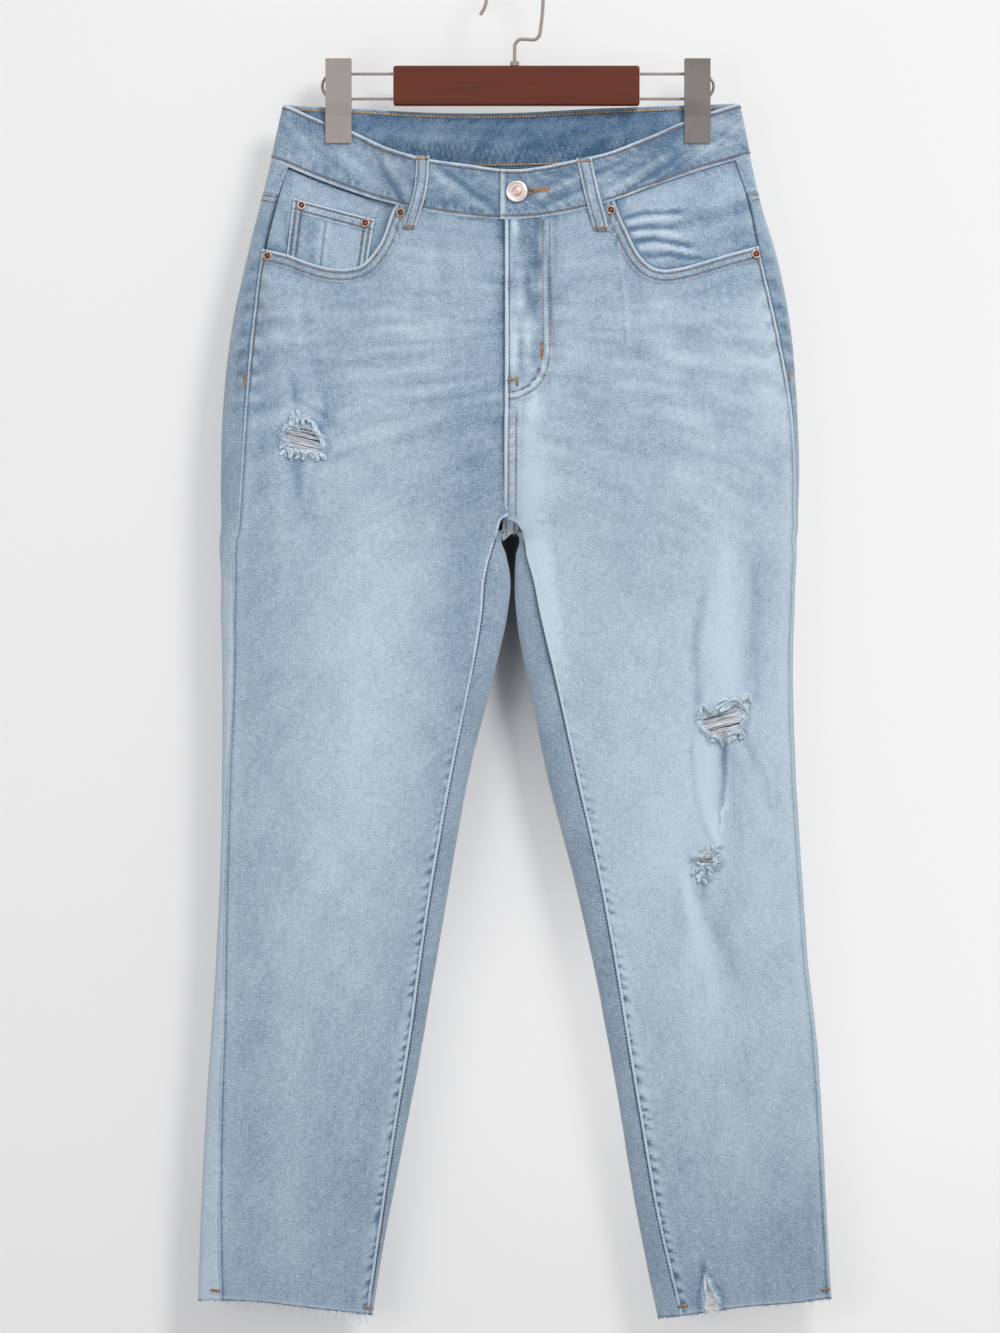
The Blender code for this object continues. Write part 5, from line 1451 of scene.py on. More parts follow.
def band_rows(face):
    """Stitches along both edges of the band, all the way round its outer face (1) or its
    inner one (-1)."""
    right, left = band_routes(-9.0, UPPER_END + 1.5)
    upper, width = (3.1, 1.05) if face > 0 else (2.8, 1.7)
    shares_down = np.array((upper, 37.9)) / BAND_HEIGHT
    rows = []
    for side, turns, lift_over in (("r", right, under_lift), ("l", left, over_lift)):
        points, normals, _, _ = band_stretch(side, turns, lift_over, shares_down)
        for path, out in zip(points, face * normals):
            path = path + out * BAND_LIFT
            lengths = path_lengths(path)
            at = np.arange(1.0, lengths[-1], 2.4)
            rows.append(stitches_on(read_along(at, lengths, path), read_along(at, lengths, out),
                                    2.1, width))
    return rows


def offset_line(line, away):
    """A line of (x, drop) points moved sideways, to its right when followed."""
    ahead = np.gradient(line, axis=0)
    ahead = ahead / np.linalg.norm(ahead, axis=1, keepdims=True)
    return line + coordinates(-ahead[:, 1], ahead[:, 0]) * away


def front_stitches(side, place):
    """Rows of topstitching on a front, and the thread that shows in its inseam's ditch."""
    rows = []
    down = np.linspace(176, 331, 60)
    beside = side_seam_x(side, down) + inward(side) * 2.3
    low = down > across(SCOOP[side], beside) + 2
    rows.append(stitch_row(coordinates(beside, down)[low], place))
    rows.extend(yoke_rows(side))
    for away in (3.0, 8.2):
        line = offset_line(fine_line(SCOOP[side], 60), away)
        x, drop = line.T
        inside = (inward(side) * (x - side_seam_x(side, drop)) > 1.5) & (
            drop > across(BAND_FOOT_FRONT, x) + 2)
        rows.append(stitch_row(line[inside], place))
    down = np.linspace(CROTCH + 8, 1066, 200)
    inseam = coordinates(front_end_x(side, down) + inward(side) * 0.2, down)
    return rows, stitch_row(inseam, place, 2.9, 2.9, 1.1, 0.9)


def fly_stitches(place):
    """The fly's curved rows, the felled centre seam's two rows and the row along its edge."""
    rows = [stitch_row(fine_fly(), place), stitch_row(offset_line(fine_fly(), -FLY_STEP), place)]
    for away, top, foot, count in ((3.0, 362, 433.0, 34), (9.3, 362, 440.5, 34),
                                   (3.4, 212, 356, 60)):
        down = np.linspace(top, foot, count)
        edge = front_end_x("l", np.minimum(down, ARCH_TOP))
        rows.append(stitch_row(coordinates(edge + away, down), place))
    return rows


def coin_stitches():
    """Two rows along the coin pocket's mouth and two beside each of its sides."""
    rows = []
    for down in (2.2, 8.5):
        x, drop = coin_place(np.linspace(0.04, 0.96, 20), 0.0)
        rows.append(stitch_row(coordinates(x, drop + down), facing_place))
    for share in (0.045, 0.115, 0.885, 0.955):
        line = coordinates(*coin_place(share, np.linspace(0.06, 0.92, 12)))
        rows.append(stitch_row(line, facing_place))
    return rows


def back_stitches(side):
    """Rows of topstitching on the back: below the yoke, beside the centre and on the pocket."""
    rows = []
    seam = fine_line(YOKE_FOOT, 80)
    half = inward(side) * (seam[:, 0] - CENTRE) < 0
    for away in (2.5, 8.0):
        line = offset_line(seam, away)[half]
        rows.append(stitch_row(line[np.abs(line[:, 0]) < 185], back_place(side, 0.0)))
    for away in (2.6, 7.6):
        x = CENTRE - inward(side) * away
        rows.append(stitch_row(((x, 236), (x, 350)), back_place(side, 0.0)))
    t = np.linspace(0, 1, 30)
    routes = []
    for inset in (0.022, 0.07):
        end = np.full(30, 1 - inset)
        routes.append((np.concatenate((1 - end, inset + (1 - 2 * inset) * t, end)),
                       np.concatenate((t * (1 - inset), end, (1 - t) * (1 - inset)))))
    for down in (0.02, 0.085):
        routes.append((np.linspace(0.03, 0.97, 30), down))
    for aside, down in routes:
        line = coordinates(*back_pocket_place(side, aside, down))
        rows.append(stitch_row(line, back_place(side, 1.3)))
    return rows


def yoke_rows(side):
    """Stitches along the yoke's seam where the back comes round to the front."""
    rows = []
    for away in (2.2, 6.5):
        turns = np.linspace(0.12, turn_at(side, side_seam_x(side, 190.0), 190.0) - 0.02, 30)
        drops = np.full(30, 190.0)
        for _ in range(4):
            drops = across(YOKE_FOOT, form(side, turns, drops)[:, 0]) + away
        points, normals = lifted(side, turns, drops, THREAD_LIFT + 0.2)
        lengths = path_lengths(points)
        at = np.arange(0.5, lengths[-1], 3.0)
        rows.append(stitches_on(read_along(at, lengths, points),
                                read_along(at, lengths, normals), 2.5, 1.05))
    return rows


def fine_fly():
    """The fly's curve as a smooth line: x and drop each over the distance along it."""
    line = np.array(FLY_CURVE, float)
    at = path_lengths(line)
    fine = np.linspace(0, at[-1], 70)
    return coordinates(*(smooth_line(fine, at, column) for column in line.T))


# Bar tacks on the fronts: half, their ends as (x, drop) points, number of bars and width.
TACKS = (
    ("l", (22.2, 305), (21.6, 315), 13, 2.6), ("l", (-5.5, 333.5), (1.0, 332.5), 9, 2.2),
    ("l", (1.8, 332.0), (2.4, 337.5), 8, 2.2), ("r", (-215.5, 326), (-216.5, 338), 14, 2.4),
    ("l", (219.6, 321), (220.3, 333), 14, 2.4), ("r", (-242.5, 1061.5), (-236, 1062), 9, 2.2),
    ("r", (-121, 1075.5), (-115, 1076.5), 8, 2.2), ("l", (132, 1074.6), (138.5, 1073.4), 9, 2.2),
    ("l", (246.5, 1062), (251.5, 1061), 7, 2.4),
)


def bright_tacks():
    """Bar tacks on the fly, at the side seams and hems, and at both ends of every loop."""
    rows = [bar_tack(start, end, front_place(side), bars, width)
            for side, start, end, bars, width in TACKS]
    for _, face, side, route, width in LOOPS:
        for share in (0.05, 0.95):
            surface = loop_surface(face, side, route, width, np.linspace(0.08, 0.92, 15),
                                   np.full(15, share), LOOP_PLY / 2 - 0.2)
            rows.append(tack_on(*surface, 2.0, 0.3, 1.3))
    return rows


def loop_stitches():
    """Two rows of stitches down every belt loop."""
    rows = []
    for _, face, side, route, width in LOOPS:
        for share in (0.2, 0.8):
            surface = loop_surface(face, side, route, width, np.full(17, share),
                                   np.linspace(0.10, 0.90, 17), LOOP_PLY / 2 + 0.05)
            rows.append(stitches_on(*surface, 2.4, 0.7, 0.5))
    return rows


BUTTON_X = 1.8
BUTTON_DROP = 183.0


def buttonhole_place(x, drop, height=0.1):
    """Points and normals of stitches on the upper end of the band."""
    return lifted("l", turn_at("l", x, drop), drop, BAND_LIFT + over_lift(x) + height)


def buttonhole_rows():
    """The keyhole's edge in bright thread: short bars square to its outline, from the button
    along the slot and round its end.  Then the dark thread that shows in the slot."""
    near, far = 7.5, 24.0
    half, eye = 0.8, 2.0
    lean = -0.06
    reach = near + (far - near) * np.linspace(0, 1, 26)
    above = coordinates(reach, -half - eye * (1 - smoothstep(reach, 8.5, 14.5)))
    turn = np.linspace(-math.pi / 2, math.pi / 2, 7)[1:-1]
    end = coordinates(far + half * np.cos(turn), half * np.sin(turn))
    along, aside = np.concatenate((above, end, above[::-1] * (1, -1))).T
    points, normals = buttonhole_place(BUTTON_X + along, BUTTON_DROP + aside + lean * along, 0.25)
    ahead, out, sideways = frames_along(points, normals)
    uneven = 1.8 + 0.5 * np.sin(np.arange(len(points)) * 2.4)[:, None]
    edge = points, sideways * uneven, ahead * 0.7, out * 0.7
    far_x = BUTTON_X + far + 1.2
    end_bar = bar_tack((far_x - 0.5, BUTTON_DROP + 1.6), (far_x + 1.0, BUTTON_DROP - 4.4),
                       buttonhole_place, 8, 1.8)
    along = np.linspace(9.5, far - 1.0, 12)
    slot = coordinates(BUTTON_X + along, BUTTON_DROP + lean * along)
    return [edge, end_bar], stitch_row(slot, buttonhole_place, 1.5, 1.6, 1.3, 0.3)


# ---- seam end, rivets and button --------------------------------------------------------------
def add_seam_end(finish):
    """The end of the back's felled centre seam, which hangs a little way below the crotch."""
    aside, steps = shares(16, 14)
    drops = 442.0 + (19.0 - 5.5 * smoothstep(aside, 0.0, 0.6)) * steps
    x = -9.6 + 13.6 * aside
    y = -5.0 + 3.0 * steps - 1.2 * np.sin(math.pi * aside)
    points = np.stack(np.broadcast_arrays(x, y, -drops), axis=-1)
    # painted light: painted near its palest to offset the shade under the arch, with painted shade
    # under its two rows of stitches
    tone = 0.95 + 0.15 * soft_noise(x / 3, drops / 4, 91)
    tone = tone - bells(x, (0.35, -6.6, 0.8), (0.35, -0.4, 0.8))
    normals = np.zeros_like(points) + (0.0, -1.0, 0.0)
    add_cloth("crotch_seam_end", points, normals, 1.0, finish, "denim", (), tone)


def seam_end_rows():
    """The two rows of bright stitches on the seam's end."""
    at = np.arange(448.5, 458.0, 2.1)
    facing = np.array([[0.0, -1.0, 0.0]])
    return [stitches_on(np.stack((np.full(len(at), x), -7.3 + 0.16 * (at - 442), -at), axis=-1),
                        facing, 1.7, 1.0) for x in (-6.6, -0.4)]


# Profiles of the stamped caps, as rows of radius, height, tone and share of the centre's colour.
RIVET_CAP = ((3.6, 0.0, 0.3, 0), (3.7, 0.4, 0.6, 0), (3.4, 0.9, 1, 0), (2.9, 1.05, 1, 0),
             (2.5, 0.85, 0.5, 0), (2.1, 0.5, 0, 1), (1.6, 0.5, 0, 1), (1.3, 0.9, 0.5, 1),
             (0.7, 1.2, 0.8, 1), (0.02, 1.25, 0.9, 1))
BUTTON_CAP = ((2.2, -4.0, 0, 0), (2.2, 0.0, 0, 0), (8.2, 0.5, 0, 0), (8.8, 1.1, 0.1, 0),
              (8.6, 1.6, 0.5, 0), (8.1, 1.95, 1, 0), (7.3, 2.0, 1, 0), (6.8, 1.85, 0.5, 0),
              (6.5, 1.6, 0.8, 0), (5.9, 1.6, 1, 0), (4.7, 1.6, 1, 0), (3.9, 1.55, 0.7, 0.3),
              (3.5, 1.5, 0.3, 0.8), (3.1, 1.9, 0.7, 1), (2.6, 2.05, 1, 1), (1.2, 2.15, 1, 1),
              (0.02, 2.2, 1, 1))
# Rivets: name, half, x, drop and height of the cloth's face over the form.
RIVETS = (("pocket_r_side", "r", -197.0, 233.5, CLOTH / 2 + 0.5),
          ("pocket_r_band", "r", -90.6, 199.5, CLOTH / 2),
          ("pocket_l_side", "l", 193.0, 232.0, CLOTH / 2),
          ("pocket_l_band", "l", 77.0, 197.5, CLOTH / 2),
          ("coin_outer", "r", -170.8, 192.5, 0.4 - COIN_DEPTH),
          ("coin_inner", "r", -119.6, 207.0, 0.4 - COIN_DEPTH))


def turned_cap(profile, side, x, drop, lift, notches=0):
    """A cap of revolution whose axis is the cloth's normal at a place: points, faces, tone and
    wear.  Notches are dark marks at equal angles round its flat ring."""
    table = np.array(profile)
    sides = 72 if notches else 24
    angle = np.linspace(0, 2 * math.pi, sides, endpoint=False)
    turn = turn_at(side, np.array(x), np.array(drop))
    out = outward(side, turn, np.array(drop))
    u = np.cross(out, (0.0, 0.0, 1.0))
    u = u / np.linalg.norm(u)
    v = np.cross(out, u)
    round_it = np.cos(angle)[:, None] * u + np.sin(angle)[:, None] * v
    points = (form(side, turn, np.array(drop)) + out * (lift + table[:, 1, None, None])
              + round_it[None] * table[:, 0, None, None])
    i = np.arange(len(table) - 1)[:, None]
    k = np.arange(sides)[None]
    following = (k + 1) % sides
    faces = np.stack((i * sides + k, (i + 1) * sides + k, (i + 1) * sides + following,
                      i * sides + following), axis=-1).reshape(-1, 4)
    tone = table[:, 2, None] + 0 * angle
    if notches:
        ring = (table[:, 0, None] > 4.5) & (table[:, 0, None] < 6.2)
        tone = tone - 0.75 * ring * (np.cos(notches * angle) > 0.1)
    wear = table[:, 3, None] + 0 * angle
    return points.reshape(-1, 3), faces, tone.ravel(), wear.ravel()


def add_caps(copper, rose):
    """The rivets, as one piece, and the button, whose ring carries plain notches."""
    caps = [turned_cap(RIVET_CAP, side, x, drop, lift + 0.9) for _, side, x, drop, lift in RIVETS]
    points, faces = joined([cap[:2] for cap in caps])
    fields = {"tone": np.concatenate([cap[2] for cap in caps]),
              "wear": np.concatenate([cap[3] for cap in caps])}
    finished(add_mesh("rivet_caps", mesh_of("rivet_caps", points, faces, None, fields)), copper,
             "rivet_metal", *["rivet_" + row[0] for row in RIVETS])
    stand = BAND / 2 + OVERLAP + 0.8
    points, faces, tone, wear = turned_cap(BUTTON_CAP, "l", BUTTON_X, BUTTON_DROP, stand, 18)
    mesh = mesh_of("button_cap", points, faces, None, {"tone": tone, "wear": wear})
    finished(add_mesh("button_cap", mesh), rose, "button_metal", "button")


# ---- loose threads ----------------------------------------------------------------------------
def threads_on(side, x, drop, stand):
    """Paths of threads given as x, drop and height over a front's cloth."""
    relief = front_relief(side, x, drop) + rip_relief(side, x, drop)
    return lifted(side, turn_at(side, x, drop), drop, relief + stand)[0]


def weft_threads(name, spacing, slope, slits, seed, lowest=2000.0):
    """The pale weft threads that still cross a hole: each runs from edge to edge on a slope,
    sags a little and strays from its neighbours.  None crosses the slits, given as drops at the
    hole's middle."""
    rng = np.random.default_rng(seed)
    side, outline = HOLES[name]
    closed = np.array(outline + outline[:1], float)
    fine = np.concatenate([np.linspace(a, b, 12, endpoint=False)
                           for a, b in zip(closed, closed[1:])])
    middle = fine[:, 0].mean()
    rim = fine[:, 1] - slope * (fine[:, 0] - middle)
    levels = np.arange(rim.min() + 0.3, min(rim.max() - 0.2, lowest), spacing)
    levels = levels[np.abs(levels[:, None] - np.array(slits)).min(axis=1) > 0.5]
    ends = np.array([(near[:, 0].min(), near[:, 0].max()) for near in
                     (fine[np.abs(rim - level) < 1.2] for level in levels)])
    t = np.linspace(0, 1, 9)
    x = ends[:, :1] - 1.2 + (ends[:, 1:] - ends[:, :1] + 2.4) * t
    drop = levels[:, None] + slope * (x - middle) + rng.normal(0, 0.12, (len(levels), 1))
    sag = rng.uniform(-0.3, 0.5, (len(levels), 1)) * np.sin(math.pi * t)
    tilt = rng.normal(0, 0.4, (len(levels), 1)) * (t - 0.5)
    stray = 0.2 * soft_noise(x / 3, levels[:, None] * 3.1, seed)
    stand = rng.uniform(-0.5, 0.3, (len(levels), 1)) * np.sin(math.pi * t)
    paths = threads_on(side, x, drop + sag + tilt + stray, stand)
    return tube_mesh(paths, rng.uniform(0.24, 0.36, (len(levels), 1)) + 0 * t)


# Clumps of yarn round each leg's holes: half width and middle line as (x, drop) points.
CLUMPS = {
    "r": (
        (2.2, ((-178.8, 369.6), (-177.2, 363.2), (-177.2, 357.6))),
        (1.8, ((-174, 367.2), (-172.4, 361.6), (-174, 356.8))),
        (1.8, ((-169.2, 368.8), (-168.4, 362.4), (-165.2, 364), (-164.4, 367.2))),
        (1.1, ((-185.2, 373.6), (-182, 369.6), (-179.6, 372.8))),
        (1.8, ((-162.8, 365.6), (-159.6, 370.4), (-160.4, 373.6))),
        (1.9, ((-159.6, 368), (-158, 373.6), (-154.8, 378.4))),
        (1.8, ((-155.6, 379.2), (-153.2, 383.2), (-153.2, 387.2))),
        (1.1, ((-184.4, 379.2), (-181.2, 384), (-176.4, 385.6))),
        (1.3, ((-187.6, 387.2), (-184.4, 385.6), (-182, 388))),
        (1.1, ((-186.8, 392.8), (-183.6, 389.6), (-182.8, 394.4))),
        (2.4, ((-182, 388.8), (-178.8, 390.4), (-179.6, 395.2))),
        (1.8, ((-175.6, 388.8), (-173.2, 392.8), (-174.8, 396))),
        (1.8, ((-170.8, 389.6), (-167.6, 392.8), (-169.2, 396.8))),
        (1.8, ((-166, 391.2), (-162, 392), (-160.4, 396))),
        (1.6, ((-159.6, 392), (-157.2, 395.2), (-158.8, 397.6))),
        (1.8, ((-155.6, 392.8), (-152.4, 394.4), (-150.8, 396.8))),
    ),
    "l": (
        (2.6, ((150.8, 593.6), (155.6, 595.2), (161.2, 600))),
        (1.3, ((149.2, 600), (149.2, 595.2), (151.6, 592))),
        (2.2, ((161.2, 596), (165.2, 590.4), (170, 587.2))),
        (2.6, ((164.4, 597.6), (170, 592.8), (175.6, 589.6), (181.2, 591.2))),
        (2.2, ((182, 589.6), (186, 584.8), (189.2, 590.4))),
        (1.3, ((178, 592.8), (183.6, 594.4), (186, 599.2))),
        (1.4, ((183.6, 599.2), (182, 604), (180.4, 608.8))),
        (2.2, ((177.2, 612.8), (182, 616), (180.4, 620))),
        (1.4, ((177.2, 618.4), (173.2, 620), (170.8, 623.2))),
        (1.8, ((150, 610.4), (154.8, 615.2), (159.6, 618.4))),
        (1.7, ((158, 616.8), (162.8, 620), (166, 622.4))),
        (1.1, ((170.8, 616.8), (174.8, 614.4), (178, 615.2))),
        (2.6, ((150, 714.4), (153.2, 708.8), (157.2, 707.2))),
        (2.2, ((154, 714.4), (158, 711.2), (159.6, 713.6))),
        (2.2, ((142.8, 715.2), (146, 712.8), (148.4, 710.4))),
        (1.3, ((157.2, 704.8), (160.4, 708.8), (163.6, 710.4))),
        (1.3, ((161.2, 706.4), (164.4, 704.8), (166, 706.4))),
        (1.4, ((158.8, 714.4), (161.2, 717.6), (159.6, 720.8))),
        (1.1, ((146, 718.4), (150, 720.8), (153.2, 719.2))),
        (2.2, ((142, 728), (145.2, 724.8), (148.4, 724))),
        (1.8, ((146, 731.2), (149.2, 728), (153.2, 725.6))),
        (1.9, ((146.8, 734.4), (150.8, 730.4), (154, 736))),
        (1.5, ((155.6, 725.6), (157.2, 729.6), (159.6, 732))),
        (1.2, ((153.2, 721.6), (157.2, 724), (158.8, 726.4))),
        (1.3, ((154.8, 1053.6), (157.2, 1058.4), (159.6, 1064))),
        (1.3, ((158.8, 1062.4), (162, 1067.2), (164.4, 1072))),
        (1.1, ((153.2, 1055.2), (153.2, 1062.4), (154, 1068.8))),
    ),
}


def clumps(rows, seed):
    """Curled clumps of loosened yarn.  Each is a bundle of fibres that wind round a given line,
    thick in its middle and thinner at both ends, and stands on the cloth."""
    rng = np.random.default_rng(seed)
    t = np.linspace(0, 1, 11)
    parts = []
    for side, half_width, line in [(side, *row) for side in rows for row in rows[side]]:
        x, drop = (smooth_line(t, np.linspace(0, 1, len(line)), column) for column in zip(*line))
        run = np.stack((np.gradient(x), np.gradient(drop)))
        run = run / np.hypot(*run)
        fibres = int(9 + 9 * half_width)
        wind = rng.uniform(1.5, 4.0) * rng.choice((-1, 1))
        turn = rng.uniform(0, 2 * math.pi, (fibres, 1)) + wind * t
        reach = 1.15 * half_width * np.sqrt(rng.uniform(0.12, 1, (fibres, 1)))
        reach = reach * (0.45 + 0.55 * np.sin(math.pi * t)) + rng.normal(0, 0.08, (fibres, 11))
        aside = reach * np.cos(turn)
        stand = CLOTH / 2 + 0.75 * half_width + 0.8 * reach * np.sin(turn)
        paths = threads_on(side, x - run[1] * aside, drop + run[0] * aside, stand)
        parts.append(tube_mesh(paths, rng.uniform(0.26, 0.42, (fibres, 1)) * (1 - 0.3 * t)))
    return joined(parts)


def frayed_rim(name, count, longest, seed, lower=1.0):
    """Tufts round a hole's rim, each a bundle of fibres with one root that rise off the cloth,
    bend over together and curl apart; lower makes those along the foot of the hole longer."""
    rng = np.random.default_rng(seed)
    side, outline = HOLES[name]
    closed = np.array(outline + outline[:1], float)
    lengths = path_lengths(closed)
    middle = closed[:-1].mean(axis=0)
    fibres = 7

    def spread(values, wander):
        return np.repeat(values, fibres) + rng.normal(0, wander, count * fibres)

    at = rng.uniform(0, lengths[-1], count)
    root = read_along(at, lengths, closed)
    away = root - middle
    away = away / np.linalg.norm(away, axis=1, keepdims=True)
    size = rng.uniform(0.4, 1, count) * longest * np.where(root[:, 1] > middle[1], lower, 1.0)
    angle = np.arctan2(away[:, 1], away[:, 0]) + rng.normal(0, 1.0, count)
    inset = rng.uniform(-0.8, 2.2, count)
    root = root + away * inset[:, None]
    root_x = spread(root[:, 0], 0.5)
    root_drop = spread(root[:, 1], 0.5)
    size = spread(size, 0.6)[:, None]
    angle = spread(angle, 0.35)[:, None]
    bend = spread(rng.uniform(-2.8, 2.8, count), 0.5)[:, None]
    height = spread(rng.uniform(0.15, 0.5, count), 0.06)[:, None]
    t = np.linspace(0, 1, 7)
    heading = angle + bend * t
    step = size / 6
    x = root_x[:, None] + step * np.cumsum(np.cos(heading), axis=1)
    drop = root_drop[:, None] + step * np.cumsum(np.sin(heading) + 0.25 * t, axis=1)
    stand = CLOTH / 2 + size * height * np.sin(2.6 * t)
    paths = threads_on(side, x, drop, stand)
    return tube_mesh(paths, rng.uniform(0.2, 0.34, (count * fibres, 1)) * (1 - 0.4 * t), 3)


def hem_point(side, turn, up):
    """A place up millimetres above the raw hem, at any turn round the leg."""
    drop = np.full(np.shape(turn), 1072.0)
    for _ in range(3):
        x = form(side, turn, drop)[..., 0]
        drop = across(HEM[side], x) - up
    return form(side, turn, drop)


def hem_fringe(side, count, longest, first, last, seed, crimp=0.5):
    """Threads that hang from the raw hem between two turns: each leaves the cut edge, falls and
    wavers, and most are short."""
    rng = np.random.default_rng(seed)
    turn = rng.uniform(first, last, count)
    root = hem_point(side, turn, rng.uniform(0.0, 1.2, count))
    size = longest * rng.uniform(0.15, 1, count) ** 2
    t = np.linspace(0, 1, 5 if longest < 5 else 10)
    sway = rng.normal(0, 0.35, (count, 1)) * t + rng.normal(0, 0.3, (count, 1)) * t * t
    waver = crimp * np.sin(t * rng.uniform(3, 9, (count, 1)) + rng.uniform(0, 6, (count, 1))) * t
    ahead = rng.normal(0, 0.25, (count, 1)) * t
    x = root[:, :1] + size[:, None] * sway + waver
    y = root[:, 1:2] + size[:, None] * ahead * 0.5 - 0.3 * t
    z = root[:, 2:] - size[:, None] * t * (1 - 0.15 * np.abs(sway))
    paths = np.stack((x, y, z), axis=-1)
    thick = 0.15 if longest < 5 else 0.27
    return tube_mesh(paths, thick * rng.uniform(1, 1.6, (count, 1)) * (1 - 0.4 * t), 3)


def add_threads(name, parts, finish):
    """One piece for several groups of loose threads."""
    finished(add_mesh(name, mesh_of(name, *joined(parts))), finish, "denim")


# ---- finishes ---------------------------------------------------------------------------------
def linear(red, green, blue):
    """A colour on the 0 to 255 scale of a colour card, as the linear values that shaders use."""
    values = np.array((red, green, blue)) / 255
    low = values / 12.92
    high = ((values + 0.055) / 1.055) ** 2.4
    return (*np.where(values <= 0.04045, low, high), 1.0)


DEEP_WASH = linear(95, 123, 151)
PALE_WASH = linear(208, 225, 239)
REVERSE_DEEP = linear(72, 104, 138)
REVERSE_PALE = linear(160, 184, 206)
PLAIN_THREAD = linear(118, 92, 76)
PLAIN_LIGHT = linear(176, 148, 126)
BRIGHT_THREAD = linear(130, 84, 50)
BRIGHT_LIGHT = linear(212, 162, 106)
GOLD_THREAD = linear(190, 138, 82)
GOLD_LIGHT = linear(240, 200, 140)
SEAM_THREAD = linear(58, 68, 86)
SEAM_LIGHT = linear(88, 98, 114)
WEFT_DARK = linear(178, 188, 200)
WEFT_PALE = linear(244, 246, 251)
FRAY_DEEP = linear(174, 208, 236)
FRAY_PALE = linear(250, 255, 255)
HEM_DEEP = linear(70, 102, 138)
HEM_PALE = linear(172, 198, 220)
LINT_DEEP = linear(232, 238, 242)
LINT_PALE = linear(255, 255, 254)
ZIP_TAPE = linear(100, 116, 132)
ROSE_METAL = linear(218, 208, 203)
ROSE_CENTRE = linear(204, 176, 164)
ROSE_DARK = linear(120, 92, 82)
COPPER = linear(184, 152, 132)
COPPER_CENTRE = linear(128, 84, 74)
COPPER_DARK = linear(64, 48, 44)
NICKEL = linear(160, 151, 147)
NICKEL_DULL = linear(146, 138, 134)
STEEL = linear(134, 129, 126)
STEEL_DULL = linear(106, 102, 100)
WOOD_DARK = linear(60, 18, 4)
WOOD_LIGHT = linear(112, 43, 14)
WALL = linear(248, 248, 248)
FLOOR = linear(236, 236, 236)


def add(tree, kind, inputs=None, **settings):
    """Put a node in a tree: inputs holds a value or a socket to link for each named socket."""
    node = tree.nodes.new(kind)
    for key, value in settings.items():
        setattr(node, key, value)
    for key, value in (inputs or {}).items():
        if isinstance(value, bpy.types.NodeSocket):
            tree.links.new(value, node.inputs[key])
        else:
            node.inputs[key].default_value = value
    return node


def maths(tree, operation, *values):
    """A Math node; each value is a number or a socket."""
    return add(tree, "ShaderNodeMath", dict(enumerate(values)), operation=operation).outputs[0]


def blend(tree, share, first, second):
    """A colour between two others: the first where the share is 0."""
    return add(tree, "ShaderNodeMix", {"Factor": share, 6: first, 7: second},
               data_type="RGBA").outputs[2]


def clamped(tree, value):
    """A value held between 0 and 1."""
    return add(tree, "ShaderNodeClamp", {"Value": value, "Min": 0.0, "Max": 1.0}).outputs[0]


def ramp(tree, value, near, far, low, high):
    """A value that runs from low to high while another runs from near to far."""
    return add(tree, "ShaderNodeMapRange", {"Value": value, 1: near, 2: far, 3: low,
                                            4: high}).outputs[0]


def object_place(tree, stretch=(1.0, 1.0, 1.0)):
    """Object coordinates in metres, each times its stretch."""
    place = add(tree, "ShaderNodeTexCoord").outputs["Object"]
    return add(tree, "ShaderNodeVectorMath", {0: place, 1: stretch},
               operation="MULTIPLY").outputs[0]


def noise(tree, place, scale, detail, distortion=0.0):
    """Noise of about 0 to 1 over a place."""
    return add(tree, "ShaderNodeTexNoise", {"Vector": place, "Scale": scale, "Detail": detail,
                                            "Distortion": distortion}).outputs[0]


def field(tree, name):
    """A value that the piece carries at each of its points."""
    return add(tree, "ShaderNodeAttribute", attribute_name=name).outputs["Fac"]


def emboss(tree, shader, height, strength, distance):
    """Feed a height through a bump into a shader's normal."""
    relief = add(tree, "ShaderNodeBump", {"Height": height, "Strength": strength,
                                          "Distance": distance})
    tree.links.new(relief.outputs[0], shader.inputs["Normal"])


def streaks(tree, flat, across_scale, down_scale, detail):
    """Noise whose cells are 1/across_scale wide and 1/down_scale long, about zero."""
    stretched = add(tree, "ShaderNodeVectorMath", {0: flat, 1: (across_scale, down_scale, 0)},
                    operation="MULTIPLY").outputs[0]
    cells = add(tree, "ShaderNodeTexNoise", {"Vector": stretched, "Scale": 1.0, "Detail": detail},
                noise_dimensions="2D")
    return maths(tree, "SUBTRACT", cells.outputs[0], 0.5)


def new_group(name, inputs, outputs):
    """An empty shader group with named sockets: {name: kind} for each side."""
    group = bpy.data.node_groups.new(name, "ShaderNodeTree")
    for side, sockets in (("INPUT", inputs), ("OUTPUT", outputs)):
        for key, kind in sockets.items():
            group.interface.new_socket(key, in_out=side, socket_type="NodeSocket" + kind)
    return group, group.nodes.new("NodeGroupInput").outputs, group.nodes.new("NodeGroupOutput")


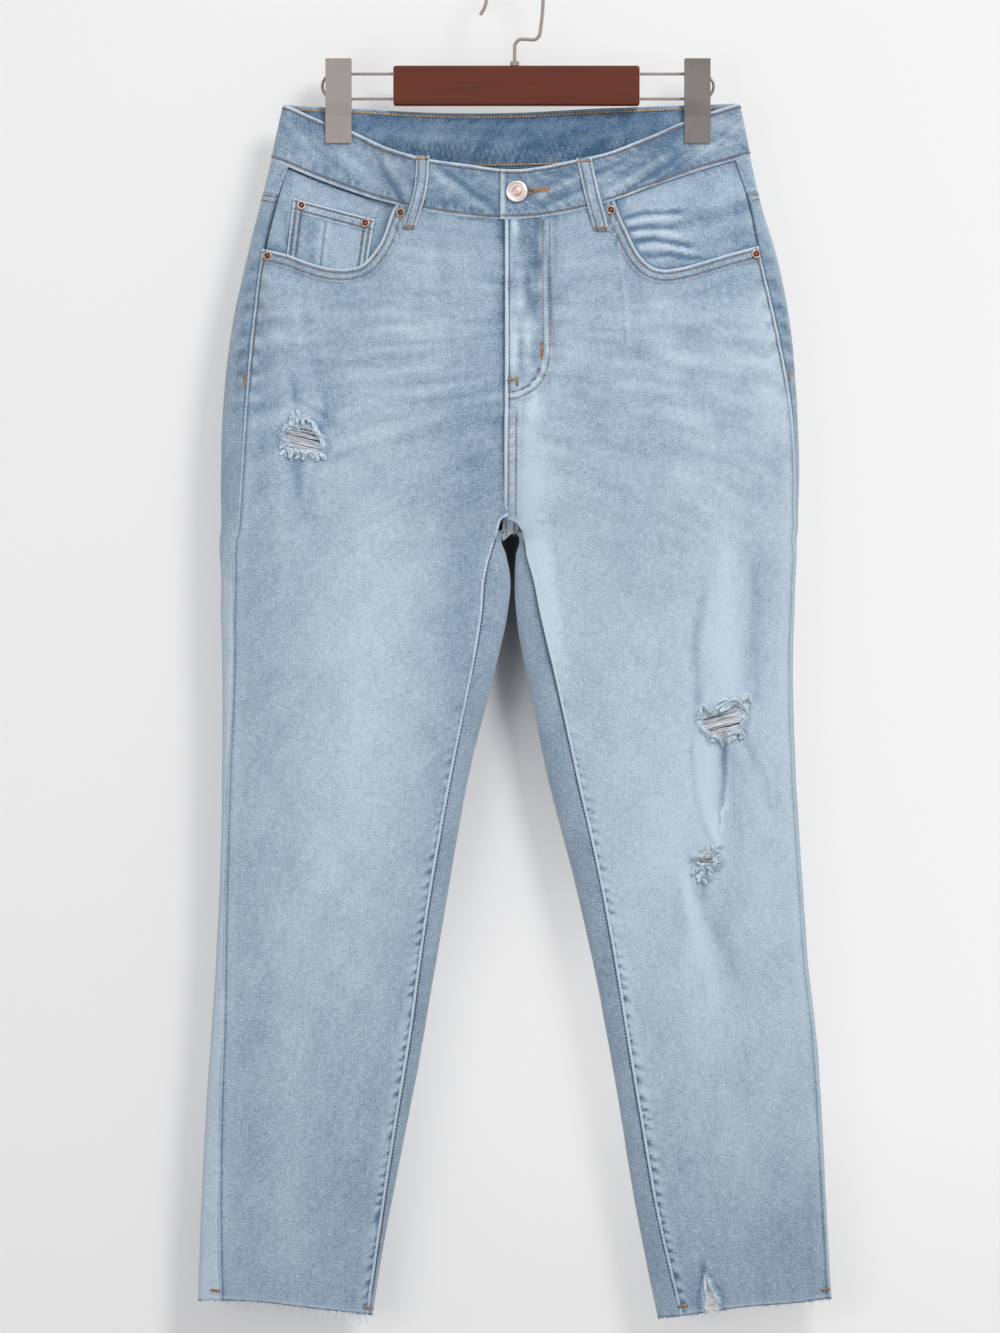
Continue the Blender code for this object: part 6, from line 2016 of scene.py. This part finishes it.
def denim_group():
    """Washed twill.  Tone, rubbed ridges with painted shade in the grooves, uneven yarns and
    mottling together choose a colour between the deep and the pale wash; the height follows the
    twill's diagonal and the yarns."""
    group, given, out = new_group(
        "washed twill",
        {"Cloth": "Vector", "Tone": "Float", "Wear": "Float", "Deep": "Color", "Pale": "Color",
         "Unevenness": "Float"},
        {"Color": "Color", "Height": "Float"})

    def do(operation, *values):
        return maths(group, operation, *values)

    # warp yarns, bands of them, weft yarns, grain, mottling and clouds: cells across and down a
    # metre, detail and how much of each shows
    layers = [(streaks(group, given["Cloth"], *cells), amount) for *cells, amount in (
        (900, 150, 2.0, 0.5), (420, 40, 2.0, 0.25), (150, 800, 2.0, 0.65), (820, 820, 1.0, 1.7),
        (210, 180, 3.0, 0.75), (45, 40, 2.0, 0.35))]
    yarns, grain = layers[0][0], layers[3][0]
    specks = do("SUBTRACT", streaks(group, given["Cloth"], 520, 700, 0.0), 0.2)
    layers.append((do("MAXIMUM", specks, 0.0), 3.0))
    parts = add(group, "ShaderNodeSeparateXYZ", {0: given["Cloth"]}).outputs
    phase = do("ADD", do("MULTIPLY", parts[0], 6400.0), do("MULTIPLY", parts[1], 3700.0))
    twill = do("SINE", phase)
    layers.append((twill, 0.03))
    shade = 0.0
    for value, amount in layers:
        shade = do("ADD", shade, do("MULTIPLY", value, amount))
    shade = do("MULTIPLY", shade, given["Unevenness"])
    # wear: pale on rubbed ridges, and painted shade in grooves
    rubbed = do("MAXIMUM", do("MINIMUM", do("MULTIPLY", given["Wear"], 4.5), 0.32), -0.20)
    share = clamped(group, do("ADD", do("ADD", given["Tone"], rubbed), shade))
    height = do("ADD", do("MULTIPLY", twill, 0.22), do("ADD", yarns, do("MULTIPLY", grain, 0.7)))
    group.links.new(blend(group, share, given["Deep"], given["Pale"]), out.inputs["Color"])
    group.links.new(height, out.inputs["Height"])
    return group


def new_material(name, **constants):
    """A material whose shader has these constants; returns it, its tree and its shader."""
    material = bpy.data.materials.new(name)
    material.use_nodes = True
    shader = material.node_tree.nodes["Principled BSDF"]
    for key, value in constants.items():
        shader.inputs[key.replace("_", " ")].default_value = value
    return material, material.node_tree, shader


def denim(name, twill, deep, pale, unevenness, bump):
    """Denim: the twill group over the piece's own flat coordinates, tone and wear.  Its colour is
    painted paler where the cloth turns edge-on to the view, a painted sheen."""
    material, tree, shader = new_material(name, Roughness=0.88, Sheen_Weight=0.12,
                                          Sheen_Roughness=0.5, Specular_IOR_Level=0.15)
    # painted sheen: paler where the surface turns edge-on
    painted_rim_sheen = add(tree, "ShaderNodeLayerWeight", {"Blend": 0.5}).outputs["Facing"]
    tone = maths(tree, "ADD", field(tree, "tone"), maths(tree, "MULTIPLY", painted_rim_sheen, 0.5))
    woven = add(tree, "ShaderNodeGroup", node_tree=twill)
    flat = add(tree, "ShaderNodeUVMap", uv_map="cloth").outputs[0]
    for key, value in {"Cloth": flat, "Tone": tone, "Wear": field(tree, "wear")}.items():
        tree.links.new(value, woven.inputs[key])
    for key, value in {"Deep": deep, "Pale": pale, "Unevenness": unevenness}.items():
        woven.inputs[key].default_value = value
    tree.links.new(woven.outputs["Color"], shader.inputs["Base Color"])
    emboss(tree, shader, woven.outputs["Height"], bump, 0.0006)
    return material


def thread(name, deep, pale, stretch=(420.0, 420.0, 420.0), fuzz=0.2):
    """Thread: its colour varies from place to place over stretched object coordinates, and the
    fuzz of loose fibres catches light from the side."""
    material, tree, shader = new_material(name, Roughness=0.75, Sheen_Weight=fuzz,
                                          Specular_IOR_Level=0.2)
    share = ramp(tree, noise(tree, object_place(tree, stretch), 1.0, 2.0), 0.3, 0.7, 0.0, 1.0)
    tree.links.new(blend(tree, share, deep, pale), shader.inputs["Base Color"])
    return material


def metal(name, colour, dull, roughness, scale):
    """Plated metal: patches of duller colour and roughness, with fine scratches in the bump."""
    material, tree, shader = new_material(name, Metallic=0.35)
    place = object_place(tree)
    patches = noise(tree, place, scale, 4.0)
    tree.links.new(blend(tree, patches, colour, dull), shader.inputs["Base Color"])
    rough = ramp(tree, patches, 0.0, 1.0, roughness - 0.08, roughness + 0.12)
    tree.links.new(rough, shader.inputs["Roughness"])
    emboss(tree, shader, noise(tree, place, 1800.0, 3.0), 0.08, 0.0004)
    return material


def stamped_metal(name, rim, centre, tarnish):
    """Metal of a stamped cap: its tone field darkens the hollows and its wear field marks the
    centre, which has another colour."""
    material, tree, shader = new_material(name, Metallic=1.0, Roughness=0.38)
    uneven = maths(tree, "SUBTRACT", noise(tree, object_place(tree), 900.0, 3.0), 0.5)
    share = maths(tree, "ADD", field(tree, "tone"), maths(tree, "MULTIPLY", uneven, 0.5))
    bare = blend(tree, field(tree, "wear"), rim, centre)
    mixed = blend(tree, clamped(tree, share), tarnish, bare)
    tree.links.new(mixed, shader.inputs["Base Color"])
    return material


def varnished_wood(name):
    """Varnished wood: grain that runs along X, in darker and lighter streaks under a clear coat."""
    material, tree, shader = new_material(name, Roughness=0.5, Coat_Weight=0.1,
                                          Coat_Roughness=0.3, Specular_IOR_Level=0.3)
    grain = noise(tree, object_place(tree, (9.0, 160.0, 160.0)), 1.0, 5.0, 0.6)
    tree.links.new(blend(tree, grain, WOOD_DARK, WOOD_LIGHT), shader.inputs["Base Color"])
    emboss(tree, shader, grain, 0.15, 0.0005)
    return material


# ---- stage, lights and camera -----------------------------------------------------------------
WALL_Y = 38.0
FLOOR_DROP = 1300.0


def plaster(name, colour, see_through):
    """Plain pale plaster with a faint unevenness.  Light that has met it once loses more than the
    eye sees.  A see-through one vanishes from behind; a painted glow, brighter towards +X, partly
    fills its shadows, but for those between the legs and under the hems, and its colour is painted
    near black behind the fork, a painted shadow."""
    material, tree, shader = new_material(name, Roughness=0.9, Specular_IOR_Level=0.1)
    place = object_place(tree)
    darker = (*(0.975 * value for value in colour[:3]), 1.0)
    mixed = blend(tree, noise(tree, place, 3.0, 3.0), colour, darker)
    path = add(tree, "ShaderNodeLightPath").outputs
    seen = maths(tree, "MAXIMUM", path["Is Camera Ray"], path["Is Glossy Ray"])
    seen = maths(tree, "MAXIMUM", seen, path["Is Transmission Ray"])
    bounced = blend(tree, seen, linear(170, 170, 172), mixed)
    if see_through:
        def from_point(x_scale, height, near, far, low, high):
            """A value that runs from low to high with the distance from a point on the wall,
            where distances along X count for more."""
            flat = add(tree, "ShaderNodeVectorMath", {0: place, 1: (x_scale, 0, 1)},
                       operation="MULTIPLY").outputs[0]
            distance = add(tree, "ShaderNodeVectorMath",
                           {0: flat, 1: (-0.003 * x_scale, 0, height)}, operation="DISTANCE")
            return ramp(tree, distance.outputs["Value"], near, far, low, high)

        parts = add(tree, "ShaderNodeSeparateXYZ", {0: place}).outputs
        # painted shadow: the wall's colour runs to near black behind the fork
        fork = from_point(8.0, -0.445, 0.03, 0.17, 0.12, 1.0)
        bounced = blend(tree, fork, linear(0, 0, 0), bounced)
        # painted light: a glow fills the wall's shadows, less near the legs and under the hems,
        # more towards +X
        away = maths(tree, "MULTIPLY", from_point(2.2, -0.52, 0.07, 0.32, 0.0, 1.0),
                     ramp(tree, parts[0], -0.3, 0.3, 0.35, 0.85))
        away = maths(tree, "MULTIPLY", away, ramp(tree, parts[2], -1.08, -0.90, 0.66, 1.0))
        # painted light: the glow is brighter towards +X
        bright = blend(tree, ramp(tree, parts[0], -0.4, 0.4, 0.0, 1.0), linear(238, 238, 239),
                       linear(246, 246, 246))
        glow = add(tree, "ShaderNodeEmission", {0: bright})
        filled = add(tree, "ShaderNodeMixShader", {0: maths(tree, "MULTIPLY", away, seen),
                                                   1: shader.outputs[0], 2: glow.outputs[0]})
        clear = add(tree, "ShaderNodeBsdfTransparent")
        facing = add(tree, "ShaderNodeNewGeometry").outputs["Backfacing"]
        choice = add(tree, "ShaderNodeMixShader", {0: facing, 1: filled.outputs[0],
                                                   2: clear.outputs[0]})
        tree.links.new(choice.outputs[0], tree.nodes["Material Output"].inputs["Surface"])
    tree.links.new(bounced, shader.inputs["Base Color"])
    return material


def add_stage():
    """A wall close behind the jeans, which vanishes from behind, and a floor below them."""
    wall = ((-2500, WALL_Y, -FLOOR_DROP), (2500, WALL_Y, -FLOOR_DROP), (2500, WALL_Y, 1500),
            (-2500, WALL_Y, 1500))
    floor = ((-2500, -3500, -FLOOR_DROP), (2500, -3500, -FLOOR_DROP), (2500, 3500, -FLOOR_DROP),
             (-2500, 3500, -FLOOR_DROP))
    for name, corners, colour in (("wall", wall, WALL), ("floor", floor, FLOOR)):
        sheet = add_mesh(name, mesh_of(name, np.array(corners, float), np.array([[0, 1, 2, 3]])))
        sheet.data.materials.append(plaster(name + " plaster", colour, name == "wall"))
        sheet.visible_shadow = name != "wall"


def add_lamp(name, place, target, size, power):
    """A round soft lamp that faces a target, its size in metres and its power in watts."""
    data = bpy.data.lights.new(name, "AREA")
    data.shape = "DISK"
    data.size = size
    data.energy = power
    lamp = bpy.data.objects.new(name, data)
    lamp.location = place
    lamp.rotation_euler = (Vector(target) - Vector(place)).to_track_quat("-Z", "Y").to_euler()
    bpy.context.scene.collection.objects.link(lamp)


def add_lights():
    """Soft light from the front and a little from behind, in a world that looks nearly white."""
    middle = (0, 0, -0.55)
    add_lamp("key", (1.3, -2.3, 1.5), middle, 1.0, 57)
    add_lamp("fill", (-1.8, -2.6, -0.9), middle, 2.0, 30)
    add_lamp("rear", (1.6, 2.2, 0.9), middle, 1.6, 14)
    world = bpy.data.worlds.new("studio")
    world.use_nodes = True
    tree = world.node_tree
    tree.nodes.clear()
    light = add(tree, "ShaderNodeBackground", {0: (1, 1, 1, 1), 1: 0.4})
    seen = add(tree, "ShaderNodeBackground", {0: (0.93, 0.93, 0.94, 1), 1: 1.0})
    path = add(tree, "ShaderNodeLightPath")
    direct = maths(tree, "MAXIMUM", path.outputs["Is Camera Ray"], path.outputs["Is Glossy Ray"])
    mixed = add(tree, "ShaderNodeMixShader", {0: direct, 1: light.outputs[0], 2: seen.outputs[0]})
    out = add(tree, "ShaderNodeOutputWorld")
    tree.links.new(mixed.outputs[0], out.inputs[0])
    bpy.context.scene.world = world


# The camera's place in metres, the height of its view where the cloth hangs, and y of that cloth.
CAMERA_X = -0.0116
CAMERA_Z = -0.5620
CAMERA_DISTANCE = 6.0
FRAME_HEIGHT = 1.0664
CLOTH_Y = -0.02


def add_camera():
    """A camera square to the jeans, whose lens follows from the height of its view."""
    data = bpy.data.cameras.new("camera")
    data.sensor_width = 36.0
    data.lens = data.sensor_width * (CAMERA_DISTANCE + CLOTH_Y) / FRAME_HEIGHT
    camera = bpy.data.objects.new("camera", data)
    camera.location = (CAMERA_X, -CAMERA_DISTANCE, CAMERA_Z)
    camera.rotation_euler = (math.pi / 2, 0, 0)
    bpy.context.scene.collection.objects.link(camera)
    bpy.context.scene.camera = camera


# ---- the whole --------------------------------------------------------------------------------
def paint(material, *nodes):
    """Give carried-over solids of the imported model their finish."""
    for name in nodes:
        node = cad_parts[name]
        for place in node.material_slots:
            place.material = material


def add_garment(finish, tape, nickel, copper, rose):
    """Every piece of cloth, with the zip's teeth, the rivets and the button."""
    for side in ("r", "l"):
        add_front(side, finish)
        add_back(side, finish)
        add_yoke(side, finish)
        add_facing(side, finish)
        add_back_pocket(side, finish)
    add_coin_pocket(finish)
    add_waistband(finish)
    for loop in LOOPS:
        add_loop(*loop, finish)
    add_zip(tape, nickel)
    add_seam_end(finish)
    add_caps(copper, rose)


def add_sewing():
    """Every row of stitches, by the thread that it is sewn with."""
    edge, slot = buttonhole_rows()
    plain = band_rows(1) + fly_stitches(front_place("l")) + coin_stitches() + loop_stitches()
    inseams = [slot]
    for side in ("r", "l"):
        rows, inseam = front_stitches(side, front_place(side))
        plain += rows + back_stitches(side)
        inseams.append(inseam)
    tacks = bright_tacks() + seam_end_rows() + edge
    for name, rows, sewn_with, deep, pale in (
            ("topstitching", plain, "plain sewing thread", PLAIN_THREAD, PLAIN_LIGHT),
            ("inseam_stitching", inseams, "seam thread", SEAM_THREAD, SEAM_LIGHT),
            ("band_inner_stitching", band_rows(-1), "golden thread", GOLD_THREAD, GOLD_LIGHT),
            ("bar_tacks", tacks, "bright sewing thread", BRIGHT_THREAD, BRIGHT_LIGHT)):
        add_stitches(name, rows, thread(sewn_with, deep, pale), "denim")


def add_loose_threads():
    """Wefts across the holes, yarn and tufts round them, and the fringe of the hems."""
    weft = thread("weft thread", WEFT_DARK, WEFT_PALE, (70.0, 200.0, 1300.0), 0.4)
    fray = thread("frayed thread", FRAY_DEEP, FRAY_PALE, (600.0, 600.0, 600.0), 0.9)
    lint = thread("bleached weft thread", LINT_DEEP, LINT_PALE, fuzz=0.9)
    fringe = thread("hem thread", HEM_DEEP, HEM_PALE)
    add_threads("weft_threads", [
        weft_threads("rip_thigh", 0.42, 0.24, (372.6, 375.4, 379.2), 101),
        weft_threads("rip_knee", 0.42, -0.26, (610.2,), 102),
        weft_threads("rip_shin", 0.34, 0.0, (0,), 103)], weft)
    add_threads("nick_threads", [
        weft_threads("rip_hem", 0.34, 0.0, (0,), 104, 1076.5),
        hem_fringe("r", 70, 13.0, 0.9, 2.9, 123, 1.6),
        hem_fringe("l", 24, 10.0, 0.4, 2.6, 124, 1.4)], lint)
    add_threads("frayed_clumps", [clumps(CLUMPS, 110)], fray)
    add_threads("frayed_rims", [
        frayed_rim("rip_thigh", 46, 4.5, 111, 1.3),
        frayed_rim("rip_knee", 52, 4.5, 112, 1.1),
        frayed_rim("rip_shin", 40, 4.5, 113, 1.3)], fray)
    add_threads("hem_fringe", [
        hem_fringe("r", 900, 2.4, -math.pi, math.pi, 121, 0.3),
        hem_fringe("l", 900, 2.4, -math.pi, math.pi, 122, 0.3)], fringe)


def main():
    """Sets the scene up, makes the finishes and adds every piece."""
    bpy.context.scene.view_settings.view_transform = "Standard"
    add_camera()
    add_lights()
    add_stage()

    twill = denim_group()
    washed = denim("washed denim", twill, DEEP_WASH, PALE_WASH, 0.42, 0.5)
    reverse = denim("reverse of the denim", twill, REVERSE_DEEP, REVERSE_PALE, 0.5, 0.5)
    tape = denim("zip tape", twill, ZIP_TAPE, REVERSE_PALE, 0.2, 0.3)
    rose = stamped_metal("rose metal", ROSE_METAL, ROSE_CENTRE, ROSE_DARK)
    copper = stamped_metal("aged copper", COPPER, COPPER_CENTRE, COPPER_DARK)
    nickel = metal("nickel plate", NICKEL, NICKEL_DULL, 0.42, 60)
    steel = metal("dull steel plate", STEEL, STEEL_DULL, 0.42, 60)

    add_garment((washed, reverse), tape, nickel, copper, rose)
    add_sewing()
    add_loose_threads()
    paint(nickel, "hanger_hook", "hook_ferrule", "wire_r", "wire_l", "clip_front_r",
          "clip_back_r", "clip_pin_r", "clip_pin_l")
    paint(steel, "clip_front_l", "clip_back_l")
    paint(varnished_wood("varnished wood"), "hanger_bar")


main()
